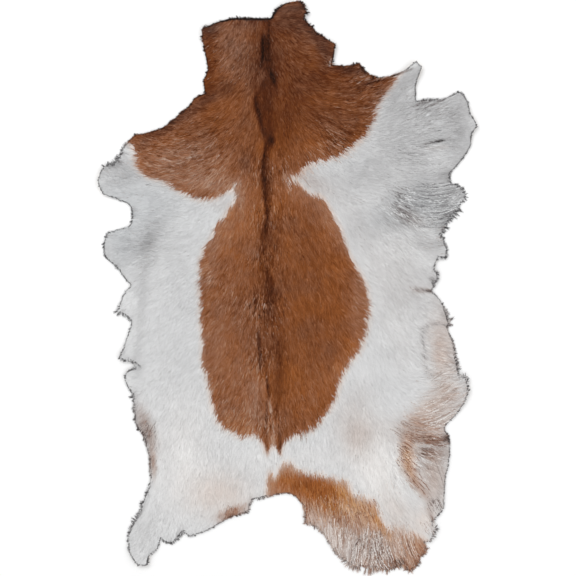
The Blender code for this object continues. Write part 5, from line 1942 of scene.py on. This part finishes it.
def paint_tones(mesh, coat):
    """Gives each point of the hide the coat's tone with its marks, dark along the cut rim: the cut edge's
    own dark, with painted shadow at the edge.
    """
    places = np.empty(3 * len(mesh.vertices), np.float32)
    mesh.vertices.foreach_get("co", places)
    x, y = places[0::3] / MM, places[1::3] / MM
    warmth, light, _ = coat.tones(x, y)
    warmth, light = coat.marked(x, y, warmth, light)
    near_rim = np.exp(-(at(coat.hide.from_rim, x, y) / SHEET_RIM) ** 2)
    light = light - SHEET_DARKER - SHEET_RIM_DARKER * near_rim
    tones = rows_of(warmth, light, 0.0)
    layer = mesh.attributes.new("tone", "FLOAT_VECTOR", "POINT")
    layer.data.foreach_set("vector", np.clip(tones, 0.0, 1.0).astype(np.float32).ravel())


def add_camera():
    """A camera straight above the hide, as in the photograph."""
    camera = bpy.data.cameras.new("camera")
    camera.sensor_width = SENSOR
    camera.lens = SENSOR * CAMERA_HEIGHT / VIEW_WIDTH
    camera.clip_end = VIEW_DEPTH
    bpy.context.scene.camera = placed("camera", camera, (VIEW_MIDDLE, 0.0, CAMERA_HEIGHT))


def add_floor():
    """A plain white floor under the hide."""
    bpy.ops.mesh.primitive_plane_add(size=FLOOR_SIZE, location=(0.0, 0.0, -FLOOR_GAP))
    floor = bpy.context.object
    floor.name = "floor"
    look = Shading("white_floor")
    faint = look.spread(look.noise(look.place(), scale=3.0, detail=2.0), low=0.0, high=1.0)
    look.give("Base Color", look.mixed(faint, shown(246, 246, 246), shown(250, 250, 250)))
    look.shader.inputs["Roughness"].default_value = 0.9
    floor.data.materials.append(look.material)


def add_light(name, place, size, power):
    """A soft square lamp that faces the hide."""
    lamp = bpy.data.lights.new(name, "AREA")
    lamp.size = size
    lamp.energy = power
    placed(name, lamp, place).rotation_euler = (-Vector(place)).to_track_quat("-Z", "Y").to_euler()


def add_lights():
    """Soft studio light from all round, a little stronger from the upper left."""
    world = bpy.data.worlds.new("studio")
    world.use_nodes = True
    back = world.node_tree.nodes["Background"]
    back.inputs["Color"].default_value = (1.0, 1.0, 1.0, 1.0)
    back.inputs["Strength"].default_value = STUDIO_LIGHT
    bpy.context.scene.world = world
    add_light("key", place=(-1.3, 1.5, 2.2), size=1.6, power=27.0)
    add_light("fill", place=(1.8, -0.8, 2.0), size=2.0, power=12.0)
    bpy.context.scene.view_settings.view_transform = "Standard"


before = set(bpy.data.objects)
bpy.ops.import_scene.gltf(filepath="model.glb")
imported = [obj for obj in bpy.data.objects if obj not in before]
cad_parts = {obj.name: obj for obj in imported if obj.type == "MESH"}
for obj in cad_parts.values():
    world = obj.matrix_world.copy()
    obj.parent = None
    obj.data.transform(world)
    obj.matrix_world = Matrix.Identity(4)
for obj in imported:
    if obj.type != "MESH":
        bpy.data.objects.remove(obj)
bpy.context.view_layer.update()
bpy.ops.object.select_all(action="DESELECT")
chance = np.random.default_rng(SEED)
add_camera()
add_lights()
add_floor()

hide = Hide(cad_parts["goatskin"])
coat = Coat(hide, chance)
hair = hair_material()
points, tones, piece = coat_blades(hide, coat, chance)
coat_pieces = []
for index, name in enumerate(PIECES):
    taken = piece == index
    coat_pieces.append(joined_blades(name, points[taken], tones[taken], hair))
for name, made in (("rim_tufts", tuft_blades), ("rim_hair", rim_blades),
                   ("creases", loose_blades), ("strands", streak_blades), ("long_strands", fan_blades)):
    coat_pieces.append(joined_blades(name, *made(hide, coat, chance), hair))
sheet = hide_sheet(hide, coat)

for part in (sheet, *coat_pieces):
    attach(part, "root")
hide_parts("goatskin")
